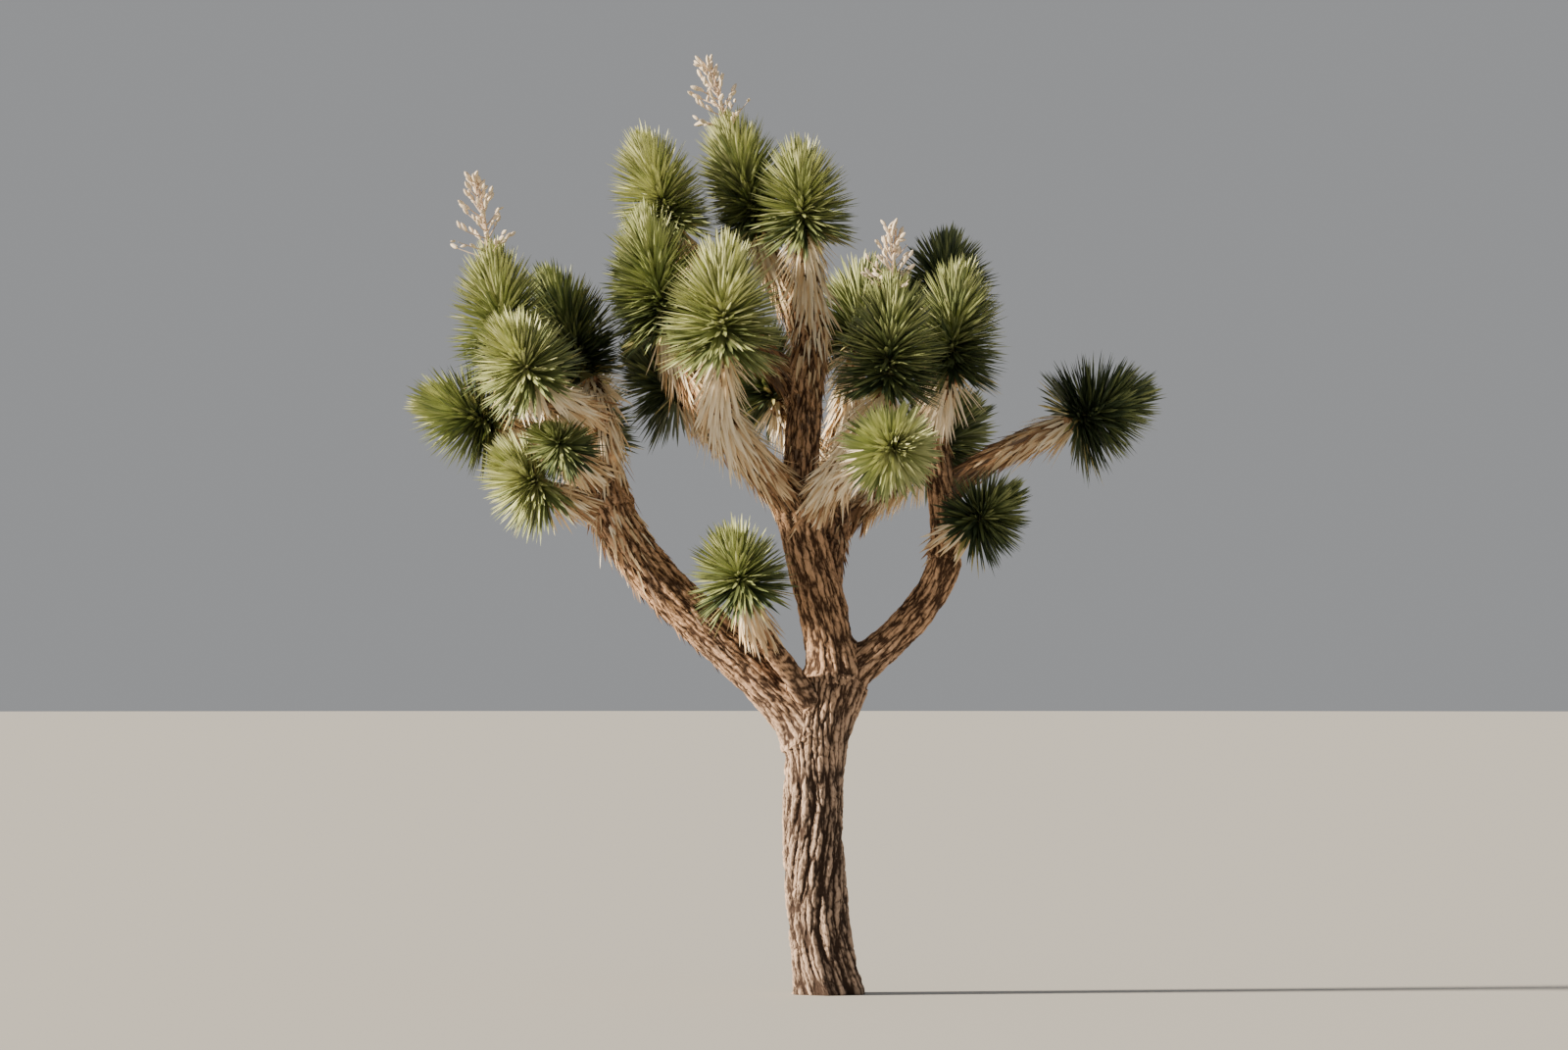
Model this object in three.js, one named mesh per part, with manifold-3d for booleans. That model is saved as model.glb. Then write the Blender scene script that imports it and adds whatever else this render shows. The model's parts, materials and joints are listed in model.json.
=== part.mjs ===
// A Joshua tree: a corky trunk that forks into thick boughs, arms clad in dead leaves,
// and a dense head of dagger leaves on the tip of every arm.
// Millimetres, +Z up, +X to the viewer's right, -Y towards the viewer.
// The origin is the middle of the flat cut under the trunk, at ground level.
import * as THREE from "three";
import { mergeVertices } from "three/addons/utils/BufferGeometryUtils.js";
import Module from "manifold-3d";

const wasm = await Module();
wasm.setup();

// Driving dimensions
const SEAT_GAP = 0.3; // between pieces that touch
const FORK_HEIGHT = 1620; // the trunk's top, where the last boughs leave it
const TRUNK = { girth: 158, taper: 0.92, sides: 24, rings: 20 }; // girth is the radius above the flare
const FURROWS = { count: 12, depth: 13, sway: 0.3, waves: 1.3, fades: [0.6, 0.78] }; // up the trunk's bark
const FLARE = { swell: 20, height: 110, lobes: 5, lobeShare: 0.08 };
const DOME = { from: 0.93, drop: 0.75 }; // the rounded end of a limb that forks
const BOUGH = { sides: 9, rings: 6 };
const ARM = { girth: 74, tipGirth: 60, thatch: 38, deadLeaves: 5, sides: 7, rings: 3 };
const SHOOT_SHARE = 0.86; // an arm's root is at most this share of its parent's radius
const DEAD_LEAF = { halfWidth: 42, flatness: 0.45, length: 210, foldBack: 56, rootDepth: 0.5 };
const HEAD_LEAVES = 18;
const LEAF = { widthShare: 0.36, flatness: 0.4, rootDepth: 0.5, level: 10, upright: 84 };
const CORE = { base: 0.4, belly: 0.6, crown: 0.4, sides: 6 }; // radii, as shares of the leaves' reach
const STALK = { halfWidth: 15, sideHalfWidth: 9, flatness: 0.9, lean: [-0.08, 0, 0.2] };
const POD = { halfWidth: 17, halfLength: 30, count: 7 };
const BREATHING_SPACE = 4; // least distance kept between leaves of two heads, and to a limb
const GOLDEN_ANGLE = Math.PI * (3 - Math.sqrt(5));
const BEND_SHARE = 0.36; // how far a limb keeps to its first and last heading
const TURN_SHARE = 0.7; // how far a limb turns to its own tip as it leaves its parent
const SEED = 41;

// Colours and finishes
const bark = new THREE.MeshStandardMaterial({ color: 0x8a6a52, roughness: 0.95, metalness: 0 });
const deadLeaf = new THREE.MeshStandardMaterial({ color: 0xc7a578, roughness: 0.9, metalness: 0 });
const greenLeaf = new THREE.MeshStandardMaterial({ color: 0x7c8a3a, roughness: 0.6, metalness: 0 });

const vec = (x, y, z) => new THREE.Vector3(x, y, z);
const degrees = THREE.MathUtils.degToRad;
const mix = THREE.MathUtils.lerp;

// The trunk's middle line: it leans a little left, then right into its fork
const TRUNK_LINE = [
  [0, 0, 0],
  [-55, 0, 0.28 * FORK_HEIGHT],
  [-78, 0, 0.55 * FORK_HEIGHT],
  [-52, 0, 0.76 * FORK_HEIGHT],
  [66, 0, FORK_HEIGHT],
];

// Boughs in bark. Each leaves its parent a share of the way along and ends on a heading.
// Where setsOff is given it sets off on that heading, and otherwise towards its tip.
// Girth is its radius at its root and at its tip.
const BOUGHS = [
  { name: "left", parent: "trunk", at: 0.74, girth: [118, 110], setsOff: [-0.5, 0, 0.87],
    tip: [-1115, -40, 2480], ends: [-0.35, 0, 0.94] },
  { name: "left_upper", parent: "bough_left", at: 0.92, girth: [108, 98],
    tip: [-1150, 10, 2900], ends: [-0.05, 0, 1] },
  { name: "centre", parent: "trunk", at: 0.93, girth: [122, 106],
    tip: [-150, 0, 2430], ends: [-0.12, 0, 0.99] },
  { name: "centre_left", parent: "bough_centre", at: 0.93, girth: [98, 86],
    tip: [-545, -340, 2920], ends: [-0.3, -0.15, 0.95] },
  { name: "centre_top", parent: "bough_centre", at: 0.9, girth: [94, 78],
    tip: [-80, 200, 3420], ends: [0.05, 0, 1] },
  { name: "top_left", parent: "bough_centre_top", at: 0.55, girth: [80, 70],
    tip: [-590, 330, 3500], ends: [-0.35, 0, 0.93] },
  { name: "front_right", parent: "bough_centre", at: 0.86, girth: [84, 74],
    tip: [150, -340, 2760], ends: [0.3, -0.2, 0.93] },
  { name: "right", parent: "trunk", at: 0.94, girth: [90, 80], setsOff: [0.78, 0, 0.62],
    tip: [596, 20, 2190], ends: [0.25, 0, 0.97] },
  { name: "right_upper", parent: "bough_right", at: 0.93, girth: [70, 64],
    tip: [497, 110, 3020], ends: [-0.05, 0.08, 0.99] },
  { name: "back", parent: "bough_centre", at: 0.35, girth: [88, 74],
    tip: [40, 720, 2600], ends: [0, 0.3, 0.95] },
];

// Arms clad in dead leaves, each with a head of leaves that goes on along the arm's last heading:
// long is the length of the head's core, reach that of its leaves, and stalk the height of an
// old dry flower stalk on it.
const ARMS = [
  { name: "left_top", parent: "bough_left_upper", at: 0.9, tip: [-1570, -90, 3080],
    ends: [-0.16, -0.1, 0.98], long: 470, reach: 230, stalk: 520 },
  { name: "left_rear", parent: "bough_left_upper", at: 0.93, tip: [-1190, 200, 3060],
    ends: [-0.4, 0.12, 0.91], long: 430, reach: 225 },
  { name: "left_mid", parent: "bough_left_upper", at: 0.82, tip: [-1440, -560, 3020],
    ends: [-0.5, -0.4, 0.77], long: 180, reach: 215 },
  { name: "left_far", parent: "bough_left_upper", at: 0.3, tip: [-1650, 60, 2830],
    ends: [-0.95, 0.05, 0.28], long: 240, reach: 225 },
  { name: "left_low", parent: "bough_left", at: 0.93, tip: [-1400, -240, 2500],
    ends: [-0.7, -0.5, 0.5], long: 150, reach: 215 },
  { name: "left_inner", parent: "bough_left_upper", at: 0.3, tip: [-1300, -370, 2680],
    ends: [-0.35, -0.75, 0.56], long: 110, reach: 160 },
  { name: "left_back", parent: "bough_left", at: 0.84, tip: [-1240, 720, 2760],
    ends: [-0.2, 0.55, 0.81], long: 300, reach: 235 },
  { name: "low", parent: "trunk", at: 0.79, tip: [-420, -470, 2000],
    ends: [-0.25, -0.35, 0.9], long: 140, reach: 215 },
  { name: "front_top", parent: "bough_centre_left", at: 0.93, tip: [-520, -520, 3180],
    ends: [0.03, -0.2, 0.98], long: 330, reach: 255 },
  { name: "mid_left", parent: "bough_centre_left", at: 0.76, tip: [-800, -50, 3290],
    ends: [-0.2, -0.1, 0.97], long: 430, reach: 230 },
  { name: "shade_left", parent: "bough_centre_left", at: 0.4, tip: [-740, 260, 2970],
    ends: [-0.7, 0.3, 0.65], long: 200, reach: 225 },
  { name: "top_left", parent: "bough_top_left", at: 0.93, tip: [-770, 230, 3800],
    ends: [-0.35, -0.12, 0.93], long: 350, reach: 215 },
  { name: "top_mid", parent: "bough_centre_top", at: 0.8, tip: [-350, 340, 3800],
    ends: [-0.28, 0.03, 0.96], long: 430, reach: 230, stalk: 450 },
  { name: "top_back", parent: "bough_top_left", at: 0.6, tip: [-830, 790, 3500],
    ends: [-0.3, 0.75, 0.58], long: 210, reach: 230 },
  { name: "top_right", parent: "bough_centre_top", at: 0.93, tip: [-120, 60, 3780],
    ends: [-0.06, -0.15, 0.98], long: 270, reach: 220 },
  { name: "right_front", parent: "bough_front_right", at: 0.92, tip: [285, -430, 2990],
    ends: [0.08, -0.1, 0.99], long: 390, reach: 225, stalk: 380 },
  { name: "facing", parent: "bough_front_right", at: 0.6, tip: [285, -660, 2670],
    ends: [0.3, -0.93, 0.15], long: 130, reach: 200 },
  { name: "right_top", parent: "bough_right_upper", at: 0.75, tip: [600, -100, 3080],
    ends: [0.1, -0.05, 0.99], long: 370, reach: 220 },
  { name: "right_rear", parent: "bough_right_upper", at: 0.87, tip: [590, 520, 3420],
    ends: [0.05, 0.35, 0.93], long: 230, reach: 215 },
  { name: "right_far", parent: "bough_right_upper", at: 0.36, tip: [1230, 110, 2840],
    ends: [0.91, 0.05, 0.41], long: 220, reach: 235 },
  { name: "right_low", parent: "bough_right_upper", at: 0.1, tip: [710, -110, 2330],
    ends: [0.7, -0.4, 0.5], long: 130, reach: 200 },
  { name: "back_left", parent: "bough_back", at: 0.9, tip: [-260, 1020, 2970],
    ends: [-0.45, 0.4, 0.8], long: 300, reach: 240 },
  { name: "back_mid", parent: "bough_back", at: 0.92, tip: [150, 960, 3230],
    ends: [0.15, 0.35, 0.92], long: 300, reach: 240 },
  { name: "back_right", parent: "bough_back", at: 0.6, tip: [500, 1080, 2700],
    ends: [0.6, 0.5, 0.62], long: 250, reach: 235 },
];

// A small seeded random number, so that the tree grows the same way each time
function seededRandom(seed) {
  let state = seed;
  return () => {
    state = (state + 0x6d2b79f5) | 0;
    let mixed = Math.imul(state ^ (state >>> 15), 1 | state);
    mixed = (mixed + Math.imul(mixed ^ (mixed >>> 7), 61 | mixed)) ^ mixed;
    return ((mixed ^ (mixed >>> 14)) >>> 0) / 4294967296;
  };
}
const random = seededRandom(SEED);
const spread = (amount) => amount * (2 * random() - 1);

// Between three.js geometry and solids that join and cut
function toSolid(geometry) {
  const loose = geometry.index ? geometry.toNonIndexed() : geometry;
  const bare = new THREE.BufferGeometry().setAttribute("position", loose.getAttribute("position"));
  const merged = mergeVertices(bare, 1e-3);
  const corners = merged.index.array;
  const kept = [];
  for (let i = 0; i < corners.length; i += 3) {
    const [a, b, c] = corners.subarray(i, i + 3);
    if (a !== b && b !== c && c !== a) kept.push(a, b, c);
  }
  return new wasm.Manifold(
    new wasm.Mesh({
      numProp: 3,
      vertProperties: merged.attributes.position.array,
      triVerts: new Uint32Array(kept),
    }),
  );
}

function toGeometry(solid) {
  const mesh = solid.getMesh();
  const geometry = new THREE.BufferGeometry();
  geometry.setAttribute("position", new THREE.BufferAttribute(new Float32Array(mesh.vertProperties), 3));
  geometry.setIndex(new THREE.BufferAttribute(new Uint32Array(mesh.triVerts), 1));
  geometry.computeVertexNormals();
  return geometry;
}

// The largest body of a solid, without the scraps that a cut can leave
function withoutScraps(solid) {
  return solid.decompose().reduce((best, body) => (body.volume() > best.volume() ? body : best));
}

// A limb is a middle line and a radius along it. The trunk's furrows sway as they go up.
function trunkLimb() {
  const line = new THREE.CatmullRomCurve3(TRUNK_LINE.map((point) => vec(...point)));
  const height = line.getLength();
  const radius = (share, angle = 0) => {
    const fromGround = share * height;
    const swell = FLARE.swell * Math.exp(-fromGround / FLARE.height);
    const fade = Math.exp(-fromGround / (2 * FLARE.height));
    const lobe = 1 + FLARE.lobeShare * Math.cos(FLARE.lobes * angle) * fade;
    const shallow = 1 - THREE.MathUtils.smoothstep(share, ...FURROWS.fades);
    const furrow = 0.5 * FURROWS.depth * (1 - Math.cos(FURROWS.count * angle)) * shallow;
    return (TRUNK.girth * mix(1, TRUNK.taper, share) + swell) * lobe * roundedTip(share) - furrow;
  };
  const sway = (share) => FURROWS.sway * Math.sin(2 * Math.PI * FURROWS.waves * share);
  return { name: "trunk", line, radius, sway, sides: TRUNK.sides, rings: TRUNK.rings };
}

// A limb's middle line, from its parent's middle to its own tip
function limbLine(plan, parent) {
  const root = parent.line.getPointAt(plan.at);
  const tip = vec(...plan.tip);
  const way = tip.clone().sub(root).normalize();
  const turned = parent.line.getTangentAt(plan.at).lerp(way, TURN_SHARE);
  const setsOff = plan.setsOff ? vec(...plan.setsOff) : turned;
  const ends = vec(...plan.ends).normalize();
  const stretch = BEND_SHARE * root.distanceTo(tip);
  const leaving = root.clone().addScaledVector(setsOff.normalize(), stretch);
  const arriving = tip.clone().addScaledVector(ends, -stretch);
  return new THREE.CubicBezierCurve3(root, leaving, arriving, tip);
}

function bough(plan) {
  const line = limbLine(plan, limbs.get(plan.parent));
  const radius = (share) => mix(...plan.girth, share) * roundedTip(share);
  return { name: "bough_" + plan.name, line, radius, sides: BOUGH.sides, rings: BOUGH.rings };
}

// An arm is as thick as a shoot at its root, and thicker where its dead leaves lie on it
function clothedArm(plan) {
  const parent = limbs.get(plan.parent);
  const line = limbLine(plan, parent);
  const girth = Math.min(ARM.girth, SHOOT_SHARE * parent.radius(plan.at));
  const thatch = (share) => ARM.thatch * THREE.MathUtils.smoothstep(share, 0.3, 0.8);
  const radius = (share) => mix(girth, ARM.tipGirth, share) + thatch(share);
  return { name: "arm_" + plan.name, line, radius, sides: ARM.sides, rings: ARM.rings };
}

// The end of a limb that forks closes like a dome, between the boughs that leave it
function roundedTip(share) {
  const intoDome = Math.max(0, share - DOME.from) / (1 - DOME.from);
  return Math.sqrt(1 - DOME.drop * intoDome ** 2);
}

// A cylinder bent along a limb's line and given its radius, grown all round where it is to cut
function bentCylinder({ line, radius, sway, sides, rings }, grow = 0) {
  const tube = new THREE.CylinderGeometry(1, 1, 1, sides, rings);
  const position = tube.getAttribute("position");
  const frames = line.computeFrenetFrames(rings, false);
  const point = new THREE.Vector3();
  for (let i = 0; i < position.count; i += 1) {
    const share = position.getY(i) + 0.5;
    const ring = Math.round(share * rings);
    const across = Math.hypot(position.getX(i), position.getZ(i));
    const angle = Math.atan2(position.getZ(i), position.getX(i));
    const reach = across * (radius(share, angle) + grow);
    const turn = angle + (sway ? sway(share) : 0);
    const overrun = grow * (Number(ring === rings) - Number(ring === 0));
    point
      .copy(line.getPointAt(share))
      .addScaledVector(frames.tangents[ring], overrun)
      .addScaledVector(frames.normals[ring], reach * Math.cos(turn))
      .addScaledVector(frames.binormals[ring], -reach * Math.sin(turn));
    position.setXYZ(i, point.x, point.y, point.z);
  }
  return tube;
}

// The trunk's first ring lies in the ground plane, so that the cut under it is flat and level
function levelFoot(geometry) {
  const position = geometry.getAttribute("position");
  for (let i = 0; i < position.count; i += 1) {
    if (position.getZ(i) < FLARE.height / 3) position.setZ(i, 0);
  }
  return geometry;
}

// A three-sided dagger from root towards heading, flat across side
function dagger(root, heading, side, length, { halfWidth, flatness }) {
  const face = new THREE.Vector3().crossVectors(side, heading).normalize();
  const flatSide = new THREE.Vector3().crossVectors(heading, face).normalize();
  return new THREE.ConeGeometry(halfWidth, length, 3)
    .scale(1, 1, flatness)
    .translate(0, length / 2, 0)
    .applyMatrix4(new THREE.Matrix4().makeBasis(flatSide, heading, face).setPosition(root));
}

// Distance from a point to the nearest place on a line, given as points along it
function distanceTo(samples, point) {
  let best = Infinity;
  for (let i = 1; i < samples.length; i += 1) {
    const stretch = new THREE.Line3(samples[i - 1], samples[i]);
    const nearest = stretch.closestPointToPoint(point, true, new THREE.Vector3());
    best = Math.min(best, nearest.distanceTo(point));
  }
  return best;
}

// True where a dagger stays on its own side of the place where head and arm meet, nearer to
// its own axis than to any other arm's, and clear of the other limbs
function hasRoom(own, root, heading, length, { halfWidth, flatness }) {
  for (const share of [0.45, 0.6, 0.75, 0.9, 1]) {
    const point = root.clone().addScaledVector(heading, share * length);
    const width = halfWidth * (1 - share) + BREATHING_SPACE;
    if (own.meeting.distanceToPoint(point) < flatness * width) return false;
    const ownDistance = distanceTo(own.samples, point);
    for (const other of axes) {
      if (other.arm !== own.arm && distanceTo(other.samples, point) < ownDistance + 2 * width) return false;
    }
    for (const other of limbs.values()) {
      if (other !== own.arm && distanceTo(other.samples, point) < other.thickest + width) return false;
    }
    if (point.z < width) return false;
  }
  return true;
}

// The longest dagger that has room, down to a little over half its length, or none
function fittingDagger(own, root, heading, side, length, shape) {
  for (const share of [1, 0.86, 0.72, 0.6]) {
    if (hasRoom(own, root, heading, share * length, shape)) {
      return toSolid(dagger(root, heading, side, share * length, shape));
    }
  }
  return null;
}

// A heading that rises from outward towards along by an angle
function risen(outward, along, angle) {
  return outward.clone().multiplyScalar(Math.cos(angle)).addScaledVector(along, Math.sin(angle));
}

// Dead leaves folded back along an arm, in a spiral round it
function deadLeavesOn(arm) {
  const found = [];
  const turn = random() * 2 * Math.PI;
  const whole = arm.line.getLength();
  for (let i = 0; i < ARM.deadLeaves; i += 1) {
    const share = mix(0.5, 1 - DEAD_LEAF.halfWidth / whole, (i + 0.5) / ARM.deadLeaves);
    const along = arm.line.getTangentAt(share);
    const level = new THREE.Vector3().crossVectors(along, vec(0.31, 0.17, 0.93)).normalize();
    const outward = level.applyAxisAngle(along, turn + i * GOLDEN_ANGLE);
    const heading = risen(outward, along, -degrees(DEAD_LEAF.foldBack + spread(6)));
    const side = new THREE.Vector3().crossVectors(along, outward);
    const depth = DEAD_LEAF.rootDepth * arm.radius(share);
    const root = arm.line.getPointAt(share).addScaledVector(outward, depth);
    const length = Math.min(DEAD_LEAF.length, 0.75 * share * whole);
    const leaf = fittingDagger(arm.axis, root, heading, side, length, DEAD_LEAF);
    if (leaf) found.push(leaf);
  }
  return found;
}

// Dagger leaves in a spiral round a head, from level at its foot to upright at its crown
function leavesOn(head) {
  const found = [];
  const shape = { halfWidth: LEAF.widthShare * head.reach, flatness: LEAF.flatness };
  for (let i = 0; i < HEAD_LEAVES; i += 1) {
    const share = (i + 0.5) / HEAD_LEAVES;
    const tilt = degrees(mix(LEAF.level, LEAF.upright, share ** 1.6) + spread(5));
    const turn = i * GOLDEN_ANGLE + spread(0.12);
    const outward = head.across.clone().applyAxisAngle(head.heading, turn);
    const side = new THREE.Vector3().crossVectors(head.heading, outward);
    const heading = risen(outward, head.heading, tilt);
    const root = head.foot
      .clone()
      .addScaledVector(head.heading, mix(0.5 * shape.halfWidth, 0.9 * head.long, share))
      .addScaledVector(outward, LEAF.rootDepth * CORE.belly * head.reach * (1 - share));
    const length = head.reach * (1 + spread(0.06));
    const leaf = fittingDagger(head.axis, root, heading, side, length, shape);
    if (leaf) found.push(leaf);
  }
  return found;
}

// The core that the leaves stand out of, turned on a lathe about the head's axis
function coreOf(head) {
  const profile = [
    [0, 0],
    [CORE.base, 0],
    [CORE.belly, 0.3],
    [CORE.belly, 0.75],
    [CORE.crown, 1.02],
    [0, 1.12],
  ].map(([across, up]) => new THREE.Vector2(across * head.reach, up * head.long));
  const face = new THREE.Vector3().crossVectors(head.across, head.heading);
  const place = new THREE.Matrix4().makeBasis(head.across, head.heading, face).setPosition(head.foot);
  return new THREE.LatheGeometry(profile, CORE.sides).applyMatrix4(place);
}

// An old flower stalk: a bare stem with short side stems, each with a dry seed pod
function stalkOn(head) {
  const stemShape = { halfWidth: STALK.halfWidth, flatness: STALK.flatness };
  const sideShape = { halfWidth: STALK.sideHalfWidth, flatness: STALK.flatness };
  const heading = head.heading.clone().add(vec(...STALK.lean)).normalize();
  const root = head.foot.clone().addScaledVector(head.heading, 0.75 * head.long);
  const length = head.stalk + 0.25 * head.long;
  const parts = [toSolid(dagger(root, heading, head.across, length, stemShape))];
  for (let i = 0; i < POD.count; i += 1) {
    const share = i / POD.count;
    const outward = head.across.clone().applyAxisAngle(heading, i * GOLDEN_ANGLE);
    const sideHeading = risen(outward, heading, degrees(42));
    const foot = root.clone().addScaledVector(heading, mix(0.5, 0.9, share) * length);
    const sideLength = mix(105, 50, share);
    parts.push(toSolid(dagger(foot, sideHeading, heading, 1.5 * sideLength, sideShape)));
    const place = foot.clone().addScaledVector(sideHeading, sideLength);
    const turnTo = new THREE.Quaternion().setFromUnitVectors(vec(0, 1, 0), sideHeading);
    const pod = new THREE.OctahedronGeometry(1)
      .scale(POD.halfWidth, POD.halfLength, POD.halfWidth)
      .applyQuaternion(turnTo)
      .translate(place.x, place.y, place.z);
    parts.push(toSolid(pod));
  }
  return parts;
}

// Grow the limbs first, then cut each where it sits on those before it
const limbs = new Map();
const axes = [];
limbs.set("trunk", trunkLimb());
for (const plan of BOUGHS) {
  limbs.set("bough_" + plan.name, bough(plan));
}
const heads = [];
for (const plan of ARMS) {
  const arm = clothedArm(plan);
  const heading = vec(...plan.ends).normalize();
  const foot = vec(...plan.tip).addScaledVector(heading, SEAT_GAP);
  const across = new THREE.Vector3().crossVectors(heading, vec(0.2, 0.97, 0.13)).normalize();
  heads.push({ ...plan, foot, heading, across, arm });
  limbs.set(arm.name, arm);
}
for (const each of limbs.values()) {
  each.samples = each.line.getSpacedPoints(6);
  each.thickest = Math.max(each.radius(0), each.radius(0.9));
}
limbs.get("trunk").thickest = TRUNK.girth;
for (const head of heads) {
  const top = head.foot.clone().addScaledVector(head.heading, head.long);
  const { arm, heading } = head;
  const meeting = new THREE.Plane().setFromNormalAndCoplanarPoint(heading, head.foot);
  head.axis = { arm, samples: [head.foot, top], meeting };
  arm.axis = { arm, samples: arm.samples, meeting: meeting.clone().negate() };
  axes.push(head.axis, arm.axis);
}

const tree = new THREE.Group();
tree.name = "joshua_tree";
const built = [];
const CUT_GROWTH = 1.5 * SEAT_GAP;

function addPiece(name, solid, material, into) {
  const mesh = new THREE.Mesh(toGeometry(solid), material);
  mesh.name = name;
  into.add(mesh);
}

// A limb's solid, seated on those that were built before it
function seatedLimb(each) {
  let solid = toSolid(each.name === "trunk" ? levelFoot(bentCylinder(each)) : bentCylinder(each));
  for (const earlier of built) {
    if (solid.intersect(earlier.grown).volume() > 0) solid = solid.subtract(earlier.grown);
  }
  return withoutScraps(solid);
}

const wood = new THREE.Group();
const crown = new THREE.Group();
tree.add(wood, crown);

for (const each of limbs.values()) {
  const clad = Boolean(each.axis);
  const parts = [seatedLimb(each), ...(clad ? deadLeavesOn(each) : [])];
  const solid = withoutScraps(parts.reduce((whole, part) => whole.add(part)));
  built.push({ grown: toSolid(bentCylinder(each, CUT_GROWTH)) });
  addPiece(each.name, solid, clad ? deadLeaf : bark, wood);
}

for (const head of heads) {
  const parts = [toSolid(coreOf(head)), ...leavesOn(head), ...(head.stalk ? stalkOn(head) : [])];
  const solid = withoutScraps(parts.reduce((whole, part) => whole.add(part)));
  addPiece("head_" + head.name, solid, greenLeaf, crown);
}

export default tree;
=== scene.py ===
import json
import math

import bpy
import numpy as np
from bpy.props import FloatProperty, FloatVectorProperty, IntProperty, PointerProperty
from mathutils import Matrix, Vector

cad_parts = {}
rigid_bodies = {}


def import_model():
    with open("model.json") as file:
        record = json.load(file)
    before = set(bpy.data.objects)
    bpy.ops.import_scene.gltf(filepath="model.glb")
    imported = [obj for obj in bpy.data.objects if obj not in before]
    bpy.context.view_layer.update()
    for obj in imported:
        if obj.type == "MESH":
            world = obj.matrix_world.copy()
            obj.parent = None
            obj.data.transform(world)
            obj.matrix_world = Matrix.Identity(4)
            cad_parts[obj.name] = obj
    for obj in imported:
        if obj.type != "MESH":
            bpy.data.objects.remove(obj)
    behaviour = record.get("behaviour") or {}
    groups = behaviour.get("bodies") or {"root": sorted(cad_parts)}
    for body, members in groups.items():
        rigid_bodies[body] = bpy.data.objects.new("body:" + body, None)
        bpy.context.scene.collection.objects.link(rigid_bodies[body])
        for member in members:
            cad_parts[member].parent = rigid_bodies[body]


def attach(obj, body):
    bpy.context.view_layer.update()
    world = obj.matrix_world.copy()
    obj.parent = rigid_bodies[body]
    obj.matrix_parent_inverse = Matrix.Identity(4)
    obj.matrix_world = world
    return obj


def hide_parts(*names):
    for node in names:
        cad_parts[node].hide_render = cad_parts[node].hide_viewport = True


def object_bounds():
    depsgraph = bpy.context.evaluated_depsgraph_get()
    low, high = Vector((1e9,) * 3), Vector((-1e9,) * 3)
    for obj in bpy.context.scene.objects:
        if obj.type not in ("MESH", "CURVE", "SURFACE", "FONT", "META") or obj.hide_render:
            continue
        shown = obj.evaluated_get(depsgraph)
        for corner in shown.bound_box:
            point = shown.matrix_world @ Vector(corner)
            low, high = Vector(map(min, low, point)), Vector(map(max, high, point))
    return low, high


bl_info = {
    "name": "Joshua tree",
    "version": (1, 0, 0),
    "blender": (4, 5, 0),
    "location": "3D View > Sidebar > Tree",
    "description": "Grows bark, dead leaves, green leaves and flower stalks on a Joshua tree's limbs",
    "category": "Add Mesh",
}

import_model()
cad_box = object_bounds()

# The plan of the tree, in millimetres, as its solids have it.
# Everything made from it is in metres.
MM = 0.001
FORK_HEIGHT = 1620
TRUNK = {"girth": 158, "taper": 0.92}
FLARE = {"swell": 20, "height": 110, "lobes": 5, "lobe_share": 0.08}
FURROWS = {"count": 12, "depth": 13, "sway": 0.3, "waves": 1.3, "fades": (0.6, 0.78)}
TRUNK_LINE = [
    (0, 0, 0),
    (-55, 0, 0.28 * FORK_HEIGHT),
    (-78, 0, 0.55 * FORK_HEIGHT),
    (-52, 0, 0.76 * FORK_HEIGHT),
    (66, 0, FORK_HEIGHT),
]
ARM_GIRTH = (74, 60)
GOLDEN_ANGLE = math.pi * (3 - math.sqrt(5))
SEED = 41

# Where along a limb its tip starts to round, how far its line keeps to its first and last
# heading, how far it turns from its parent's, and the most of its parent's girth for an arm
DOME_FROM = 0.93
BEND_SHARE = 0.36
TURN_SHARE = 0.7
SHOOT_SHARE = 0.86

# What the solids leave plain. A limb is slim inside its parent, and swells where it comes out:
# both are shares of its own girth, reached at shares of its parent's.
COLLAR = {"slim": 0.55, "full_at": 0.65, "swell": 0.16, "shrinks_from": 0.6, "shrinks_over": 0.7}

# Where two limbs meet, the bark flows together over a share of the slimmer one's girth. Each
# skin sinks into the other through a depth, in metres, and its relief fades between two depths.
# It is drawn there in rounds, which take no slope for flatter than the flattest.
FLOW = {"share": 0.7, "depth": 0.05, "relief": (-0.03, 0.004), "rounds": 4, "flattest": 0.3}

# Dead leaves make up the rest of the girth of an arm, and of a bough that they clothe
# from below this share of it.
UNDER_LEAVES = {"arm": 0.8, "bough": 0.84, "clothed_from": 0.2}


def plans(columns, rows):
    """The rows of a table by the names of its columns, with what only some rows have."""
    return [{**dict(zip(columns, each)), **dict(*each[len(columns):])} for each in rows]


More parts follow.
